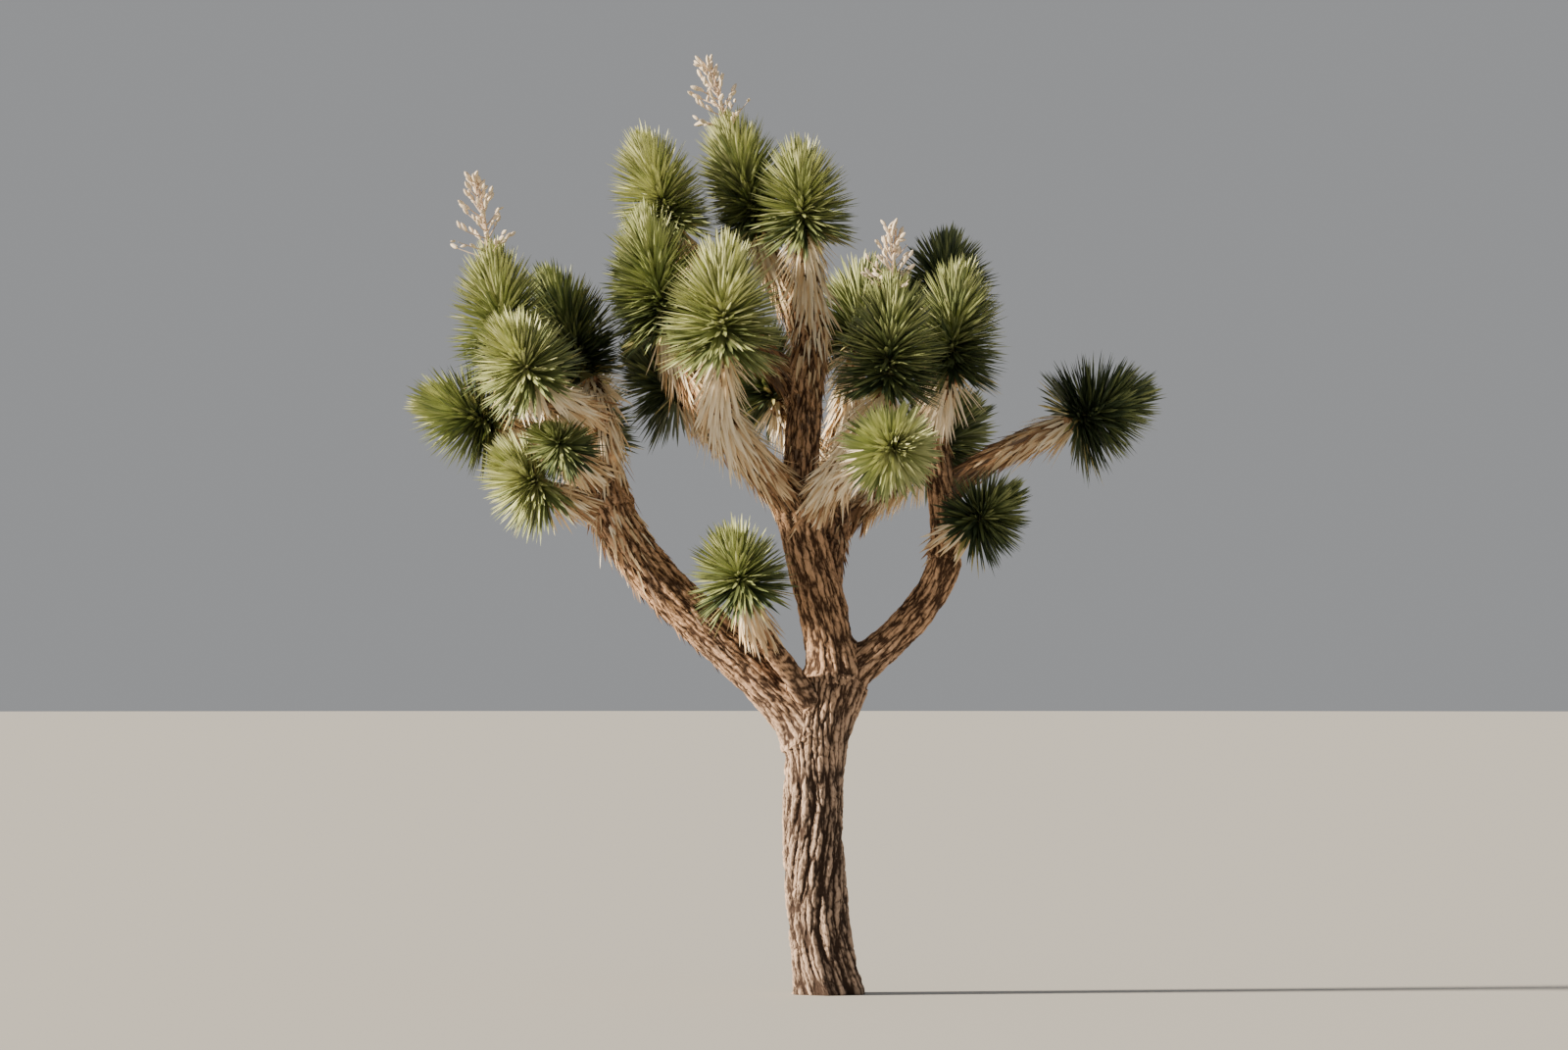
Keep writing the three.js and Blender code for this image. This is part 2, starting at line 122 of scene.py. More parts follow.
# Each bough leaves its parent a share of the way along, and ends at its tip on a heading. It may
# set off on a heading of its own, and slim is the share of its girth that it has inside its
# parent. Thatch is the share of it from which old leaves still lie on it, and age how long they
# have, as metres of growth since they died.
# On some limbs age is set older where their leaves lie in shade and younger where they are lit, so part of
# their tone is painted shade and painted light.
BOUGHS = plans(("name", "parent", "at", "tip", "ends", "girth"), [
    ("left", "trunk", 0.74, (-1115, -40, 2480), (-0.35, 0, 0.94), (118, 110),
     {"sets_off": (-0.5, 0, 0.87), "thatch": 0.42, "age": 0.34}),
    ("left_upper", "left", 0.92, (-1150, 10, 2900), (-0.05, 0, 1), (108, 98),
     {"thatch": 0.0, "age": 0.12}),
    ("centre", "trunk", 0.93, (-150, 0, 2430), (-0.12, 0, 0.99), (122, 106), {"slim": 0.85}),
    ("centre_left", "centre", 0.93, (-545, -340, 2920), (-0.3, -0.15, 0.95), (98, 86),
     {"thatch": 0.1, "age": 0.1}),
    ("centre_top", "centre", 0.9, (-80, 200, 3420), (0.05, 0, 1), (94, 78), {"thatch": 0.3, "age": 0.3}),
    ("top_left", "centre_top", 0.55, (-590, 330, 3500), (-0.35, 0, 0.93), (80, 70),
     {"thatch": 0.1, "age": 0.3}),
    ("front_right", "centre", 0.86, (150, -340, 2760), (0.3, -0.2, 0.93), (84, 74),
     {"thatch": 0.15, "age": 0.08}),
    ("right", "trunk", 0.94, (596, 20, 2190), (0.25, 0, 0.97), (90, 80), {"sets_off": (0.78, 0, 0.62)}),
    ("right_upper", "right", 0.93, (497, 110, 3020), (-0.05, 0.08, 0.99), (70, 64),
     {"thatch": 0.62, "age": 0.5}),
    ("back", "centre", 0.35, (40, 720, 2600), (0, 0.3, 0.95), (88, 74), {"thatch": 0.45, "age": 0.35}),
])

# Each arm carries a head of leaves: long is the length of its stem, reach that of its leaves,
# stalk the height of an old flower stalk on it, and tone its leaves' colour, from 0 for the
# freshest to 3 for the deepest. Heads that lie in shade have deeper tones, which is painted shade.
ARMS = plans(("name", "parent", "at", "tip", "ends", "long", "reach", "tone"), [
    ("left_top", "left_upper", 0.9, (-1570, -90, 3080), (-0.16, -0.1, 0.98), 470, 230, 0.9,
     {"stalk": 520}),
    ("left_rear", "left_upper", 0.93, (-1190, 200, 3060), (-0.4, 0.12, 0.91), 430, 225, 2.2),
    ("left_mid", "left_upper", 0.82, (-1440, -560, 3020), (-0.5, -0.4, 0.77), 180, 215, 0.6),
    ("left_far", "left_upper", 0.3, (-1650, 60, 2830), (-0.95, 0.05, 0.28), 240, 225, 1.4, {"age": 0.2}),
    ("left_low", "left", 0.93, (-1400, -240, 2500), (-0.7, -0.5, 0.5), 150, 215, 0.5, {"age": 0.3}),
    ("left_inner", "left_upper", 0.3, (-1300, -370, 2680), (-0.35, -0.75, 0.56), 110, 160, 1.6,
     {"age": 0.25}),
    ("left_back", "left", 0.84, (-1240, 720, 2760), (-0.2, 0.55, 0.81), 300, 235, 2.0),
    ("low", "trunk", 0.79, (-420, -470, 2000), (-0.25, -0.35, 0.9), 140, 215, 1.2,
     {"thatch": 0.76, "age": 0.3}),
    ("front_top", "centre_left", 0.93, (-520, -520, 3180), (0.03, -0.2, 0.98), 330, 255, 0.3),
    ("mid_left", "centre_left", 0.76, (-800, -50, 3290), (-0.2, -0.1, 0.97), 430, 230, 1.2, {"age": 0.2}),
    ("shade_left", "centre_left", 0.4, (-740, 260, 2970), (-0.7, 0.3, 0.65), 200, 225, 2.8, {"age": 0.1}),
    ("top_left", "top_left", 0.93, (-770, 230, 3800), (-0.35, -0.12, 0.93), 350, 215, 0.4, {"age": 0.3}),
    ("top_mid", "centre_top", 0.8, (-350, 340, 3800), (-0.28, 0.03, 0.96), 430, 230, 1.0,
     {"age": 0.2, "stalk": 450}),
    ("top_back", "top_left", 0.6, (-830, 790, 3500), (-0.3, 0.75, 0.58), 210, 230, 1.8),
    ("top_right", "centre_top", 0.93, (-120, 60, 3780), (-0.06, -0.15, 0.98), 270, 220, 0.8),
    ("right_front", "front_right", 0.92, (285, -430, 2990), (0.08, -0.1, 0.99), 390, 225, 1.5,
     {"stalk": 380}),
    ("facing", "front_right", 0.6, (285, -660, 2670), (0.3, -0.93, 0.15), 130, 200, 0.5),
    ("right_top", "right_upper", 0.75, (600, -100, 3080), (0.1, -0.05, 0.99), 370, 220, 1.5),
    ("right_rear", "right_upper", 0.87, (590, 520, 3420), (0.05, 0.35, 0.93), 230, 215, 2.8),
    ("right_far", "right_upper", 0.36, (1230, 110, 2840), (0.91, 0.05, 0.41), 220, 235, 2.7,
     {"age": 0.3}),
    ("right_low", "right_upper", 0.1, (710, -110, 2330), (0.7, -0.4, 0.5), 130, 200, 2.2, {"age": 0.3}),
    ("back_left", "back", 0.9, (-260, 1020, 2970), (-0.45, 0.4, 0.8), 300, 240, 1.7),
    ("back_mid", "back", 0.92, (150, 960, 3230), (0.15, 0.35, 0.92), 300, 240, 1.2),
    ("back_right", "back", 0.6, (500, 1080, 2700), (0.6, 0.5, 0.62), 250, 235, 2.1),
])


# Arithmetic on rows of vectors
def row(numbers):
    return np.array(numbers, dtype=float)


def unit(vectors):
    return vectors / np.linalg.norm(vectors, axis=-1, keepdims=True)


def mix(first, second, share):
    return first + (second - first) * share


def smoothstep(value, low, high):
    share = np.clip((value - low) / (high - low), 0, 1)
    return share * share * (3 - 2 * share)


def rounded_tip(share):
    """What a dome leaves of a limb's radius, a share of the way along it."""
    into_dome = np.clip((share - DOME_FROM) / (1 - DOME_FROM), 0, 1)
    return np.sqrt(1 - into_dome ** 2)


def turned(around, side, angle):
    """Vectors square to around, turned from side by an angle."""
    cosine = np.cos(angle)[:, None]
    sine = np.sin(angle)[:, None]
    return cosine * side + sine * np.cross(around, side)


def risen(outward, along, angle):
    """Headings that rise from outward towards along by an angle."""
    return np.cos(angle)[:, None] * outward + np.sin(angle)[:, None] * along


# Limbs
class Line:
    """A middle line, measured evenly along its length, with a side that never twists."""

    SAMPLES = 320
    POST_EVERY = 4

    def __init__(self, points, side):
        steps = np.linalg.norm(np.diff(points, axis=0), axis=1)
        travelled = np.concatenate([[0.0], np.cumsum(steps)])
        self.length = travelled[-1]
        self.shares = np.linspace(0, 1, self.SAMPLES)
        even = self.shares * self.length
        self.points = np.column_stack([np.interp(even, travelled, points[:, axis]) for axis in range(3)])
        self.headings = unit(np.gradient(self.points, axis=0))
        sides = []
        for heading in self.headings:
            side = unit(side - np.dot(side, heading) * heading)
            sides.append(side)
        self.sides = np.array(sides)
        self.posts = self.points[::self.POST_EVERY]
        self.post_shares = self.shares[::self.POST_EVERY]

    def read(self, table, share):
        share = np.atleast_1d(share)
        return np.column_stack([np.interp(share, self.shares, table[:, axis]) for axis in range(3)])

    def place(self, share):
        return self.read(self.points, share)

    def heading(self, share):
        return unit(self.read(self.headings, share))

    def side(self, share):
        heading = self.heading(share)
        side = self.read(self.sides, share)
        return unit(side - (side * heading).sum(1, keepdims=True) * heading)


class Limb:
    """A middle line and a radius along it."""

    PATH_PLACES = 7

    def __init__(self, name, line, girth, plan=None, parent=None):
        self.name = name
        self.line = line
        self.girth = girth
        self.plan = plan or {}
        self.parent = parent
        self.path = line.place(np.linspace(0, 1, self.PATH_PLACES))
        self.thickest = max(girth)
        self.slim = self.plan.get("slim", COLLAR["slim"])
        self.collar = parent.radius(plan["at"]) if parent else 0.0
        self.under_leaves = 1.0

    def sway(self, share):
        return 0 * share

    def furrow(self, share, angle):
        return 0 * share * angle

    def radius(self, share, angle=0.0):
        """The radius, slim inside the parent, swollen where it comes out and rounded at the tip."""
        travelled = share * self.line.length
        past = np.maximum(0, travelled - COLLAR["shrinks_from"] * self.collar)
        swelling = 1 + COLLAR["swell"] * np.exp(-past / (COLLAR["shrinks_over"] * self.thickest))
        full = smoothstep(travelled, 0, COLLAR["full_at"] * self.collar + MM)
        swelling = swelling * mix(self.slim, 1.0, full)
        return mix(*self.girth, share) * swelling * rounded_tip(share)


class Trunk(Limb):
    """The trunk, which flares into a few lobes at the ground, with furrows that sway up it."""

    def sway(self, share):
        return FURROWS["sway"] * np.sin(2 * math.pi * FURROWS["waves"] * share)

    def furrow(self, share, angle):
        """How deep in a furrow a place is, from 0 to 1."""
        fade = 1 - smoothstep(share, *FURROWS["fades"])
        return 0.5 * (1 - np.cos(FURROWS["count"] * angle)) * fade

    def radius(self, share, angle=0.0):
        from_ground = share * self.line.length
        height = FLARE["height"] * MM
        swell = FLARE["swell"] * MM * np.exp(-from_ground / height)
        fade = np.exp(-from_ground / (2 * height))
        lobe = 1 + FLARE["lobe_share"] * np.cos(FLARE["lobes"] * angle) * fade
        bare = (mix(*self.girth, share) + swell) * lobe * rounded_tip(share)
        return bare - FURROWS["depth"] * MM * self.furrow(share, angle)


PLACES_A_STRETCH = 80
PLACES_A_LIMB = 400


def trunk_points():
    """A smooth line through the trunk's named places, with no overshoot between them."""
    through = row(TRUNK_LINE) * MM
    through = np.vstack([2 * through[0] - through[1], through, 2 * through[-1] - through[-2]])
    share = np.linspace(0, 1, PLACES_A_STRETCH, endpoint=False)[:, None]
    stretches = []
    for before, start, end, after in zip(through, through[1:], through[2:], through[3:]):
        steps = [math.sqrt(np.linalg.norm(b - a)) for a, b in
                 ((before, start), (start, end), (end, after))]
        leaving = (start - before) / steps[0] - (end - before) / (steps[0] + steps[1])
        leaving = (leaving + (end - start) / steps[1]) * steps[1]
        arriving = (end - start) / steps[1] - (after - start) / (steps[1] + steps[2])
        arriving = (arriving + (after - end) / steps[2]) * steps[1]
        bend = 3 * (end - start) - 2 * leaving - arriving
        close = 2 * (start - end) + leaving + arriving
        stretches.append(start + leaving * share + bend * share ** 2 + close * share ** 3)
    return np.vstack(stretches + [through[-2:-1]])


def limb_points(plan, parent):
    """A line from the parent's middle to the limb's own tip, on the headings of its plan."""
    root = parent.line.place(plan["at"])[0]
    tip = row(plan["tip"]) * MM
    way = unit(tip - root)
    sets_off = mix(parent.line.heading(plan["at"])[0], way, TURN_SHARE)
    sets_off = unit(row(plan.get("sets_off", sets_off)))
    ends = unit(row(plan["ends"]))
    stretch = BEND_SHARE * np.linalg.norm(tip - root)
    corners = (root, root + stretch * sets_off, tip - stretch * ends, tip)
    share = np.linspace(0, 1, PLACES_A_LIMB)[:, None]
    weights = ((1 - share) ** 3, 3 * (1 - share) ** 2 * share, 3 * (1 - share) * share ** 2, share ** 3)
    return sum(weight * corner for weight, corner in zip(weights, corners))


def grow_limbs():
    """The trunk, the boughs and the arms, each from its parent."""
    girth = TRUNK["girth"] * MM
    line = Line(trunk_points(), np.array([0.0, -1.0, 0.0]))
    limbs = {"trunk": Trunk("trunk", line, (girth, girth * TRUNK["taper"]))}
    for plan in BOUGHS:
        parent = limbs[plan["parent"]]
        line = Line(limb_points(plan, parent), np.array([0.0, -1.0, 0.02]))
        girth = tuple(each * MM for each in plan["girth"])
        limb = Limb("bough_" + plan["name"], line, girth, plan, parent)
        if plan.get("thatch", 1.0) < UNDER_LEAVES["clothed_from"]:
            limb.under_leaves = UNDER_LEAVES["bough"]
        limbs[plan["name"]] = limb
    arms = []
    for plan in ARMS:
        parent = limbs[plan["parent"]]
        root = min(ARM_GIRTH[0] * MM, SHOOT_SHARE * float(parent.radius(plan["at"])))
        line = Line(limb_points(plan, parent), np.array([0.3, -0.95, 0.1]))
        arm = Limb("arm_" + plan["name"], line, (root, ARM_GIRTH[1] * MM), plan, parent)
        arm.under_leaves = UNDER_LEAVES["arm"]
        arms.append(arm)
    every = list(limbs.values()) + arms
    for limb in every:
        limb.beside = [other for other in every if other is not limb and (
            other.parent in (limb, limb.parent) or other is limb.parent)]
    return limbs, arms


class Head:
    """The stem of a head of leaves, which goes on from its arm's tip."""

    def __init__(self, arm):
        plan = arm.plan
        self.arm = arm
        self.plan = plan
        self.node = "head_" + plan["name"]
        self.heading = unit(row(plan["ends"]))
        self.foot = row(plan["tip"]) * MM
        self.across = unit(np.cross(self.heading, (0.2, 0.97, 0.13)))
        self.long = plan["long"] * MM
        self.reach = plan["reach"] * MM
        self.path = np.array([self.foot, self.foot + self.long * self.heading])


def grow_heads(arms):
    """The head on each arm. Its rivals for room are the stems of all the others."""
    heads = [Head(arm) for arm in arms]
    for head in heads:
        head.rivals = [other.path for other in heads if other is not head]
    return heads


LIMBS, SHOOTS = grow_limbs()
HEADS = grow_heads(SHOOTS)


# Room between one head's leaves and the next
PLACES_TESTED = (0.5, 0.7, 0.85, 1.0)
LENGTHS_TRIED = (0.6, 0.72, 0.86, 1.0)
ABOVE_GROUND = 0.02


def distance_to(path, points):
    """The distance from each point to the nearest place on a path of straight stretches."""
    starts = path[:-1]
    ways = path[1:] - starts
    offsets = points[:, None] - starts[None]
    shares = np.clip((offsets * ways).sum(-1) / (ways ** 2).sum(-1), 0, 1)
    gaps = offsets - shares[..., None] * ways
    return np.sqrt((gaps ** 2).sum(-1)).min(1)


def has_room(own_path, rivals, barriers, leaves, length):
    """True where a leaf stays nearer to its own stem than to a rival's, and out of the limbs."""
    free = np.ones(len(length), dtype=bool)
    for share in PLACES_TESTED:
        points = leaves["root"] + leaves["heading"] * (share * length)[:, None]
        own = distance_to(own_path, points)
        for rival in rivals:
            free &= distance_to(rival, points) > own
        for barrier in barriers:
            free &= distance_to(barrier.path, points) > barrier.thickest
        free &= points[:, 2] > ABOVE_GROUND
    return free


def fitted(own_path, rivals, barriers, leaves):
    """The leaves that have room, each as long as it can be."""
    length = np.zeros(len(leaves["length"]))
    for share in LENGTHS_TRIED:
        tried = leaves["length"] * share
        length = np.where(has_room(own_path, rivals, barriers, leaves, tried), tried, length)
    return only({**leaves, "length": length}, length > 0)


# Batches, which hold a row or a number for each of their shapes
def only(batch, kept):
    return {name: values[kept] for name, values in batch.items()}


def joined(batches):
    return {name: np.concatenate([batch[name] for batch in batches]) for name in batches[0]}


def lone(**values):
    """A batch of one shape."""
    return {name: row([value]) for name, value in values.items()}


def spiral(count):
    """The turns from one leaf to the next, so that none stands right over another."""
    return np.arange(count) * GOLDEN_ANGLE


def strays(chance, widths, count):
    """A function that draws how far each shape of a batch strays in one way."""

    def draw(name, middle=0.0):
        return chance.normal(middle, widths[name], count)

    return draw


# Nodes
class Wire:
    """A node's output, which adds and multiplies like a number."""

    def __init__(self, nodes, socket):
        self.nodes = nodes
        self.socket = socket

    def beside(self, name):
        """Another output of the same node."""
        return Wire(self.nodes, self.socket.node.outputs[name])

    def math(self, operation, first, second):
        return self.nodes.node("ShaderNodeMath", {"operation": operation}, {0: first, 1: second})

    def __add__(self, other):
        return self.math("ADD", self, other)

    def __radd__(self, other):
        return self.math("ADD", other, self)

    def __sub__(self, other):
        return self.math("SUBTRACT", self, other)

    def __rsub__(self, other):
        return self.math("SUBTRACT", other, self)

    def __mul__(self, other):
        return self.math("MULTIPLY", self, other)

    def __rmul__(self, other):
        return self.math("MULTIPLY", other, self)

    def __pow__(self, other):
        return self.math("POWER", self, other)


class Nodes:
    """Makes the nodes of one tree. Settings go in first, then the sockets' values and links."""

    def __init__(self, tree):
        self.tree = tree

    def node(self, kind, settings=None, sockets=None):
        made = self.tree.nodes.new(kind)
        for name, value in (settings or {}).items():
            if name == "stops":
                self.fill_ramp(made.color_ramp, value)
            elif name == "curve":
                self.fill_curve(made.mapping, value)
            else:
                setattr(made, name, value)
        for name, value in (sockets or {}).items():
            if isinstance(name, int):
                socket = made.inputs[name]
            else:
                socket = next(each for each in made.inputs if each.enabled and each.name == name)
            if isinstance(value, Wire):
                self.tree.links.new(value.socket, socket)
            else:
                socket.default_value = value
        shown = [each for each in made.outputs if each.enabled]
        return Wire(self, shown[0]) if shown else None

    def fill_ramp(self, ramp, stops):
        while len(ramp.elements) < len(stops):
            ramp.elements.new(1.0)
        for element, (position, colour) in zip(ramp.elements, stops):
            element.position = position
            element.color = colour

    def fill_curve(self, mapping, stops):
        points = mapping.curves[0].points
        while len(points) < len(stops):
            points.new(1.0, 1.0)
        for point, place in zip(points, stops):
            point.location = place
        mapping.update()

    def attribute(self, name, kind="FLOAT_VECTOR"):
        return self.node("GeometryNodeInputNamedAttribute", {"data_type": kind}, {"Name": name})

    def vector(self, operation, first, second):
        return self.node("ShaderNodeVectorMath", {"operation": operation}, {0: first, 1: second})

    def scaled(self, vector, factor):
        return self.node("ShaderNodeVectorMath", {"operation": "SCALE"}, {0: vector, "Scale": factor})

    def part(self, vector, axis="X"):
        return self.node("ShaderNodeSeparateXYZ", {}, {"Vector": vector}).beside(axis)

    def eased(self, value, low, high):
        """A smooth step from 0 to 1 as the value goes from low to high."""
        settings = {"interpolation_type": "SMOOTHSTEP"}
        sockets = {"Value": value, "From Min": low, "From Max": high}
        return self.node("ShaderNodeMapRange", settings, sockets)

    def noise(self, place, scale=1.0, detail=2.0):
        return self.node("ShaderNodeTexNoise", {}, {"Vector": place, "Scale": scale, "Detail": detail})

    def cells(self, place, feature="F1", randomness=1.0):
        """Cells of one size in place, strewn at random, or how far a place is from their edges."""
        sockets = {"Vector": place, "Scale": 1.0, "Randomness": randomness}
        return self.node("ShaderNodeTexVoronoi", {"feature": feature}, sockets)

    def blend(self, factor, first, second, kind="MIX"):
        settings = {"data_type": "RGBA", "blend_type": kind}
        return self.node("ShaderNodeMix", settings, {"Factor": factor, "A": first, "B": second})

    def changed(self, kind, geometry, sockets=None):
        """A geometry after one more node."""
        return self.node(kind, {}, {"Geometry": geometry, **(sockets or {})})

    def without(self, geometry, names):
        """A geometry without the attributes that have done their work."""
        for name in names:
            geometry = self.changed("GeometryNodeRemoveAttribute", geometry, {"Name": name})
        return geometry

    def end(self, geometry, material):
        """End a tree with real geometry in one material."""
        done = self.changed("GeometryNodeSetMaterial", geometry, {"Material": material})
        self.node("NodeGroupOutput", {}, {"Geometry": done})


def geometry_tree(name, inputs):
    """An empty geometry tree, its nodes, and its inputs by name."""
    tree = bpy.data.node_groups.new(name, "GeometryNodeTree")
    tree.is_modifier = True
    tree.interface.new_socket("Geometry", in_out="INPUT", socket_type="NodeSocketGeometry")
    for label, (kind, default) in inputs.items():
        socket = tree.interface.new_socket(label, in_out="INPUT", socket_type=kind)
        if default is not None:
            socket.default_value = default
    tree.interface.new_socket("Geometry", in_out="OUTPUT", socket_type="NodeSocketGeometry")
    nodes = Nodes(tree)
    given = nodes.node("NodeGroupInput")
    return tree, nodes, given


def new_object(name, data):
    made = bpy.data.objects.new(name, data)
    bpy.context.scene.collection.objects.link(made)
    return made


def through_nodes(mesh, tree, values):
    """The mesh that a geometry tree makes of a mesh, as a plain mesh."""
    carrier = new_object("carrier", mesh)
    modifier = carrier.modifiers.new("made", "NODES")
    modifier.node_group = tree
    for socket in tree.interface.items_tree:
        if socket.in_out == "INPUT" and socket.name in values:
            modifier[socket.identifier] = values[socket.name]
    evaluated = carrier.evaluated_get(bpy.context.evaluated_depsgraph_get())
    made = bpy.data.meshes.new_from_object(evaluated)
    made.materials.clear()
    made.materials.append(values["Material"])
    made.polygons.foreach_set("material_index", np.zeros(len(made.polygons), dtype=np.int32))
    carrier.modifiers.remove(modifier)
    bpy.data.objects.remove(carrier)
    bpy.data.meshes.remove(mesh)
    return made


def place_piece(name, mesh, replaced):
    """The finished piece at the origin, riding on the root and standing for the named nodes."""
    mesh.name = name
    piece = new_object(name, mesh)
    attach(piece, "root")
    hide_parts(*replaced)


# Finishes
def new_material(name):
    material = bpy.data.materials.new(name)
    material.use_nodes = True
    material.node_tree.nodes.clear()
    return material, Nodes(material.node_tree)


def finish_surface(nodes, sockets):
    surface = nodes.node("ShaderNodeBsdfPrincipled", {}, sockets)
    nodes.node("ShaderNodeOutputMaterial", {}, {"Surface": surface})


def opaque(colour, strength=1.0):
    return tuple(strength * each for each in colour) + (1.0,)


def leaf_finish(name, colour, roughness, grain=140.0):
    """One plain colour, with a dry or waxy surface that is a little uneven."""
    material, nodes = new_material(name)
    place = nodes.node("ShaderNodeTexCoord").beside("Object")
    uneven = nodes.noise(place, grain)
    relief = nodes.node("ShaderNodeBump", {}, {"Strength": 0.35, "Distance": 0.002, "Height": uneven})
    finish_surface(nodes, {
        "Base Color": opaque(colour),
        "Roughness": uneven * 0.3 + (roughness - 0.15),
        "Specular IOR Level": 0.35,
        "Normal": relief,
    })
    return material


# Fibres, flakes and cracks to the metre, round a limb and along it
FIBRES = (150.0, 150.0, 24.0)
FLAKES = (75.0, 75.0, 34.0)
CRACKS = (46.0, 46.0, 25.0)

# The heights between which the bark turns browner
BROWNER = (1.0, 1.9)


def bark_finish(name, ridge, groove_shade, upper):
    """Corky plates: pale on their ridges, dark with painted shade in the furrows and cracks, browner higher
    in the tree.
    """
    material, nodes = new_material(name)
    place = nodes.node("ShaderNodeTexCoord").beside("Object")
    height = nodes.part(place, "Z")
    relief = nodes.node("ShaderNodeAttribute", {"attribute_name": "relief"}).beside("Fac")
    skin = nodes.node("ShaderNodeAttribute", {"attribute_name": "skin"}).beside("Vector")
    fibres = nodes.noise(nodes.vector("MULTIPLY", skin, FIBRES), detail=5.0)
    wander = nodes.vector("SUBTRACT", fibres.beside("Color"), (0.5, 0.5, 0.5))
    fibres = nodes.eased(fibres, 0.3, 0.7)
    flakes = nodes.vector("ADD", nodes.vector("MULTIPLY", skin, FLAKES), nodes.scaled(wander, 1.3))
    flakes = nodes.part(nodes.cells(flakes).beside("Color"))
    cracks = nodes.vector("ADD", nodes.vector("MULTIPLY", skin, CRACKS), nodes.scaled(wander, 1.6))
    cracks = nodes.eased(nodes.cells(cracks, "DISTANCE_TO_EDGE"), 0.0, 0.1)
    patches = nodes.noise(place, 5.5, 3.0)
    # The colour follows the relief: low places and crack edges get painted shade, down to the furrow
    # colour.
    shown = relief + (fibres - 0.5) * 0.34 + (flakes - 0.5) * 0.2 + (patches - 0.5) * 0.16
    shown = shown + (cracks - 0.85) * 0.24
    middle = mix(row(groove_shade), row(ridge), 0.42)
    low = nodes.node("ShaderNodeValToRGB", {"stops": [
        (0.06, opaque(groove_shade)),
        (0.35, opaque(middle)),
        (0.65, opaque(ridge)),
        (0.96, opaque(ridge, 1.35)),
    ]}, {"Fac": shown})
    high = nodes.blend(1.0, low, opaque(upper, 1.2), "MULTIPLY")
    browned = nodes.eased(height + (patches - 0.5) * 0.8, *BROWNER)
    grain = nodes.node("ShaderNodeBump", {}, {
        "Strength": 0.75, "Distance": 0.004, "Height": fibres * 0.7 + flakes * 0.2 + cracks * 0.6})
    finish_surface(nodes, {
        "Base Color": nodes.blend(browned, low, high),
        "Roughness": 0.97 - fibres * 0.08,
        "Specular IOR Level": 0.2,
        "Normal": grain,
    })
    return material


# Shapes that are set on points
WELDED_WITHIN = 0.0005


def strewn_tree(name, outline, section):
    """A tree of nodes that sets one tapering blade on each point, along the point's heading.

    Outline gives the width along the blade. Section is four corners, or a number of sides.
    """
    tree, nodes, given = geometry_tree(name, {
        "Stations": ("NodeSocketInt", 6),
        "Material": ("NodeSocketMaterial", None),
    })
    line = nodes.node("GeometryNodeCurvePrimitiveLine", {}, {"Start": (0, 0, 0), "End": (0, 0, 1)})
    line = nodes.node("GeometryNodeResampleCurve", {}, {"Curve": line, "Count": given.beside("Stations")})
    share = nodes.node("GeometryNodeSplineParameter")
    width = nodes.node("ShaderNodeFloatCurve", {"curve": outline}, {"Value": share})
    if isinstance(section, int):
        profile = nodes.node("GeometryNodeCurvePrimitiveCircle", {}, {"Resolution": section, "Radius": 0.5})
    else:
        corners = {"Point %d" % (i + 1): corner for i, corner in enumerate(section)}
        profile = nodes.node("GeometryNodeCurvePrimitiveQuadrilateral", {"mode": "POINTS"}, corners)
    blade = nodes.node("GeometryNodeCurveToMesh", {}, {
        "Curve": line, "Profile Curve": profile, "Scale": width, "Fill Caps": True})
    blade = nodes.changed("GeometryNodeMergeByDistance", blade, {"Distance": WELDED_WITHIN})
    height = nodes.part(nodes.node("GeometryNodeInputPosition"), "Z")
    blade = nodes.changed("GeometryNodeStoreNamedAttribute", blade, {"Name": "along", "Value": height})
    turn = nodes.node("FunctionNodeAxesToRotation", {"primary_axis": "Z", "secondary_axis": "X"}, {
        "Primary Axis": nodes.attribute("heading"), "Secondary Axis": nodes.attribute("side")})
    across = nodes.attribute("width", "FLOAT")
    size = nodes.node("ShaderNodeCombineXYZ", {}, {
        "X": across, "Y": across, "Z": nodes.attribute("length", "FLOAT")})
    strewn = nodes.node("GeometryNodeInstanceOnPoints", {}, {
        "Points": given, "Instance": blade, "Rotation": turn, "Scale": size})
    whole = nodes.changed("GeometryNodeRealizeInstances", strewn)
    along = nodes.attribute("along", "FLOAT")
    sag = nodes.scaled(nodes.attribute("bend"), along * along)
    bent = nodes.changed("GeometryNodeSetPosition", whole, {"Offset": sag})
    flat = nodes.changed("GeometryNodeSetShadeSmooth", bent, {"Shade Smooth": False})
    flat = nodes.without(flat, ("heading", "side", "bend", "width", "length", "along"))
    nodes.end(flat, given.beside("Material"))
    return tree


def keep_values(mesh, name, values):
    """Keep a number or a vector for each point of a mesh."""
    kind, field = ("FLOAT_VECTOR", "vector") if values.ndim == 2 else ("FLOAT", "value")
    mesh.attributes.new(name, kind, "POINT").data.foreach_set(field, values.ravel())


def strew(tree, batch, material, stations):
    """A plain mesh with one shape at each root of a batch."""
    points = bpy.data.meshes.new("points")
    points.from_pydata(batch["root"].tolist(), [], [])
    for name in ("heading", "side", "bend", "width", "length"):
        keep_values(points, name, batch[name])
    return through_nodes(points, tree, {"Material": material, "Stations": stations})


# Bark. Cells and lumps to the metre, round a limb and along it, and the height that stays put.
FISSURE_STRETCH = (1.0, 1.0, 0.28)
RAISED_FIBRES = (120.0, 120.0, 26.0)
LUMPS = (62.0, 62.0, 34.0)
MIDDLE_HEIGHT = 0.62

# How far one limb's place in the pattern is from the next one's, at which share of its girth a
# limb has its full relief, and up to which height the relief of the trunk is held level
SKINS_APART = 3.0
FULL_RELIEF_AT = 0.6
LEVEL_BELOW = 0.05

# The fewest sides, rings along a limb and rings round its tip
LEAST_SIDES = 12
LEAST_RINGS = 4
LEAST_TIP_RINGS = 5


